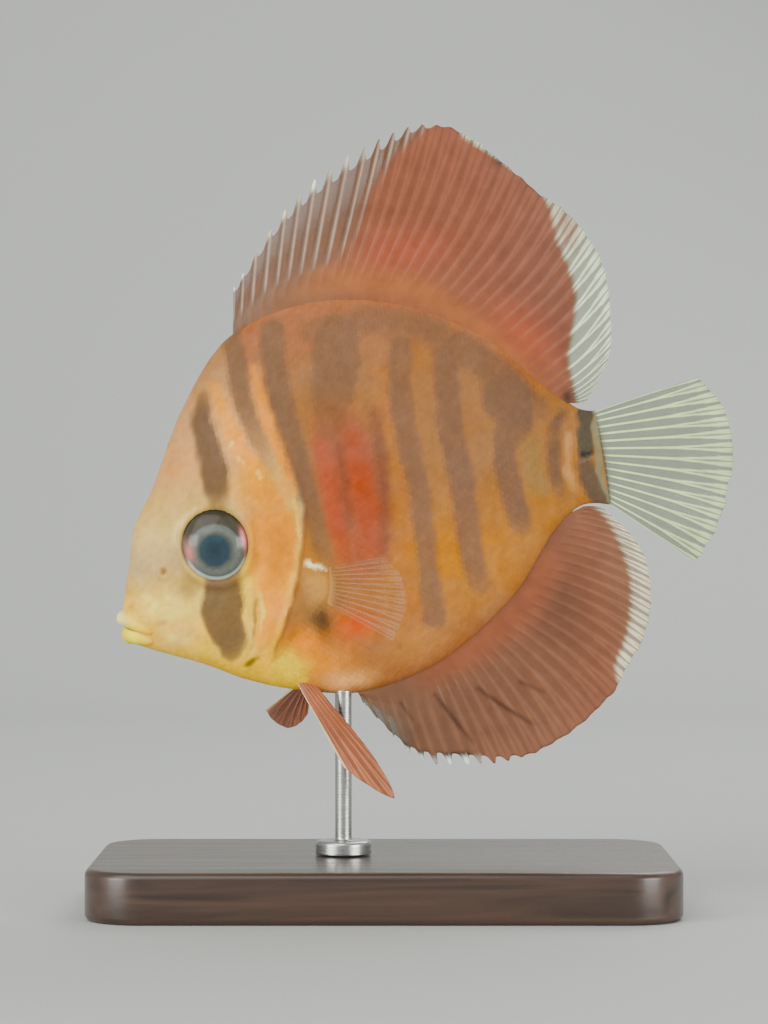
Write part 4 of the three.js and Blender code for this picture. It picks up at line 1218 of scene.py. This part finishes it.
def make_rod():
    """The rod and its foot collar, turned about one axis, with eased edges on the collar."""
    low, high = (np.array(corner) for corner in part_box("stand_rod"))
    centre = (low + high) / 2
    foot, top, columns = low[2], high[2] + 0.0003, 72
    ease = np.linspace(0, np.pi / 2, 5)
    profile = [(0.0025, foot), (0.0046, foot), (0.005, foot)]
    profile += [(0.005, foot + 0.0002), (0.005, foot + 0.0016)]
    profile += [(0.0044 + 0.0006 * math.cos(a), foot + 0.0018 + 0.0006 * math.sin(a)) for a in ease]
    profile += [(0.0041, foot + 0.0024), (0.0019, foot + 0.0024), (0.0016, foot + 0.00245)]
    profile += [(0.0015, foot + 0.0026), (0.0015, foot + 0.003), (0.0015, top - 0.0002)]
    profile += [(0.0015, top), (0.0007, top)]
    angle = np.arange(columns) * 2 * np.pi / columns
    rings = [
        np.column_stack([centre[0] + r * np.cos(angle), centre[1] + r * np.sin(angle), np.full(columns, z)])
        for r, z in profile
    ]
    points = np.vstack([*rings, [[centre[0], centre[1], foot], [centre[0], centre[1], top]]])
    faces = capped_ring(len(profile), columns)
    make_piece("rod", points, faces, ["stand_rod"], steel_material())


# Stage and camera


def make_floor():
    """A pale floor that sweeps up into a backdrop."""
    bend = np.linspace(0, np.pi / 2, 24)
    sweep = np.stack([0.55 + 0.35 * np.sin(bend), 0.35 * (1 - np.cos(bend))], 1)
    profile = np.vstack([[[-1.2, 0.0]], sweep, [[0.9, 1.6]]])
    points = np.array([[x, y, z] for x in (-1.6, 1.6) for y, z in profile])
    mesh = bpy.data.meshes.new("floor")
    mesh.from_pydata(points.tolist(), [], grid_quads(2, len(profile)).tolist())
    mesh.polygons.foreach_set("use_smooth", np.ones(len(mesh.polygons), bool))
    floor = bpy.data.objects.new("floor", mesh)
    bpy.context.collection.objects.link(floor)
    colour = (*srgb(180, 182, 178), 1)
    mesh.materials.append(new_material("floor", Roughness=0.85, Base_Color=colour)[0])


def make_light():
    """Four broad soft lights and a pale world."""
    lights = [
        ("key", (-0.4, -0.6, 0.7), 0.9, 0.9, 7.6, (1.0, 0.99, 0.96)),
        ("left", (-0.75, -0.6, 0.16), 0.5, 0.3, 6.2, (1.0, 1.0, 0.98)),
        ("right", (0.75, -0.6, 0.16), 0.5, 0.3, 6.8, (1.0, 1.0, 0.98)),
        ("back", (0.25, 0.5, 0.65), 0.6, 0.6, 4.4, (1.0, 1.0, 1.0)),
    ]
    for name, place, wide, high, power, tone in lights:
        light = bpy.data.lights.new(name, "AREA")
        light.shape = "RECTANGLE"
        light.size = wide
        light.size_y = high
        light.energy = power
        light.color = tone
        lamp = bpy.data.objects.new(name, light)
        lamp.location = place
        lamp.rotation_euler = (Vector((0, 0, 0.07)) - Vector(place)).to_track_quat("-Z", "Y").to_euler()
        bpy.context.collection.objects.link(lamp)
    world = bpy.data.worlds.new("world")
    world.use_nodes = True
    world.node_tree.nodes["Background"].inputs["Color"].default_value = (0.9, 0.95, 1.0, 1)
    world.node_tree.nodes["Background"].inputs["Strength"].default_value = 0.55
    bpy.context.scene.world = world


def make_camera():
    """Level with the fish's middle, square on to its left side, 0.6 m away."""
    camera = bpy.data.cameras.new("camera")
    camera.sensor_width = 36
    camera.lens = 117.2
    view = bpy.data.objects.new("camera", camera)
    view.location = (0, -0.6, 0.07074)
    view.rotation_euler = (math.pi / 2, 0, 0)
    bpy.context.collection.objects.link(view)
    bpy.context.scene.camera = view


make_skin()
make_scales(-1)
make_scales(1)
make_lip("lip_upper", UPPER_LIP, UPPER_LIP_LADDER)
make_lip("lip_lower", LOWER_LIP, LOWER_LIP_LADDER)
make_eye(-1)
make_eye(1)
make_median_fins()
make_paired_fins()
make_base()
make_rod()
make_floor()
make_light()
make_camera()
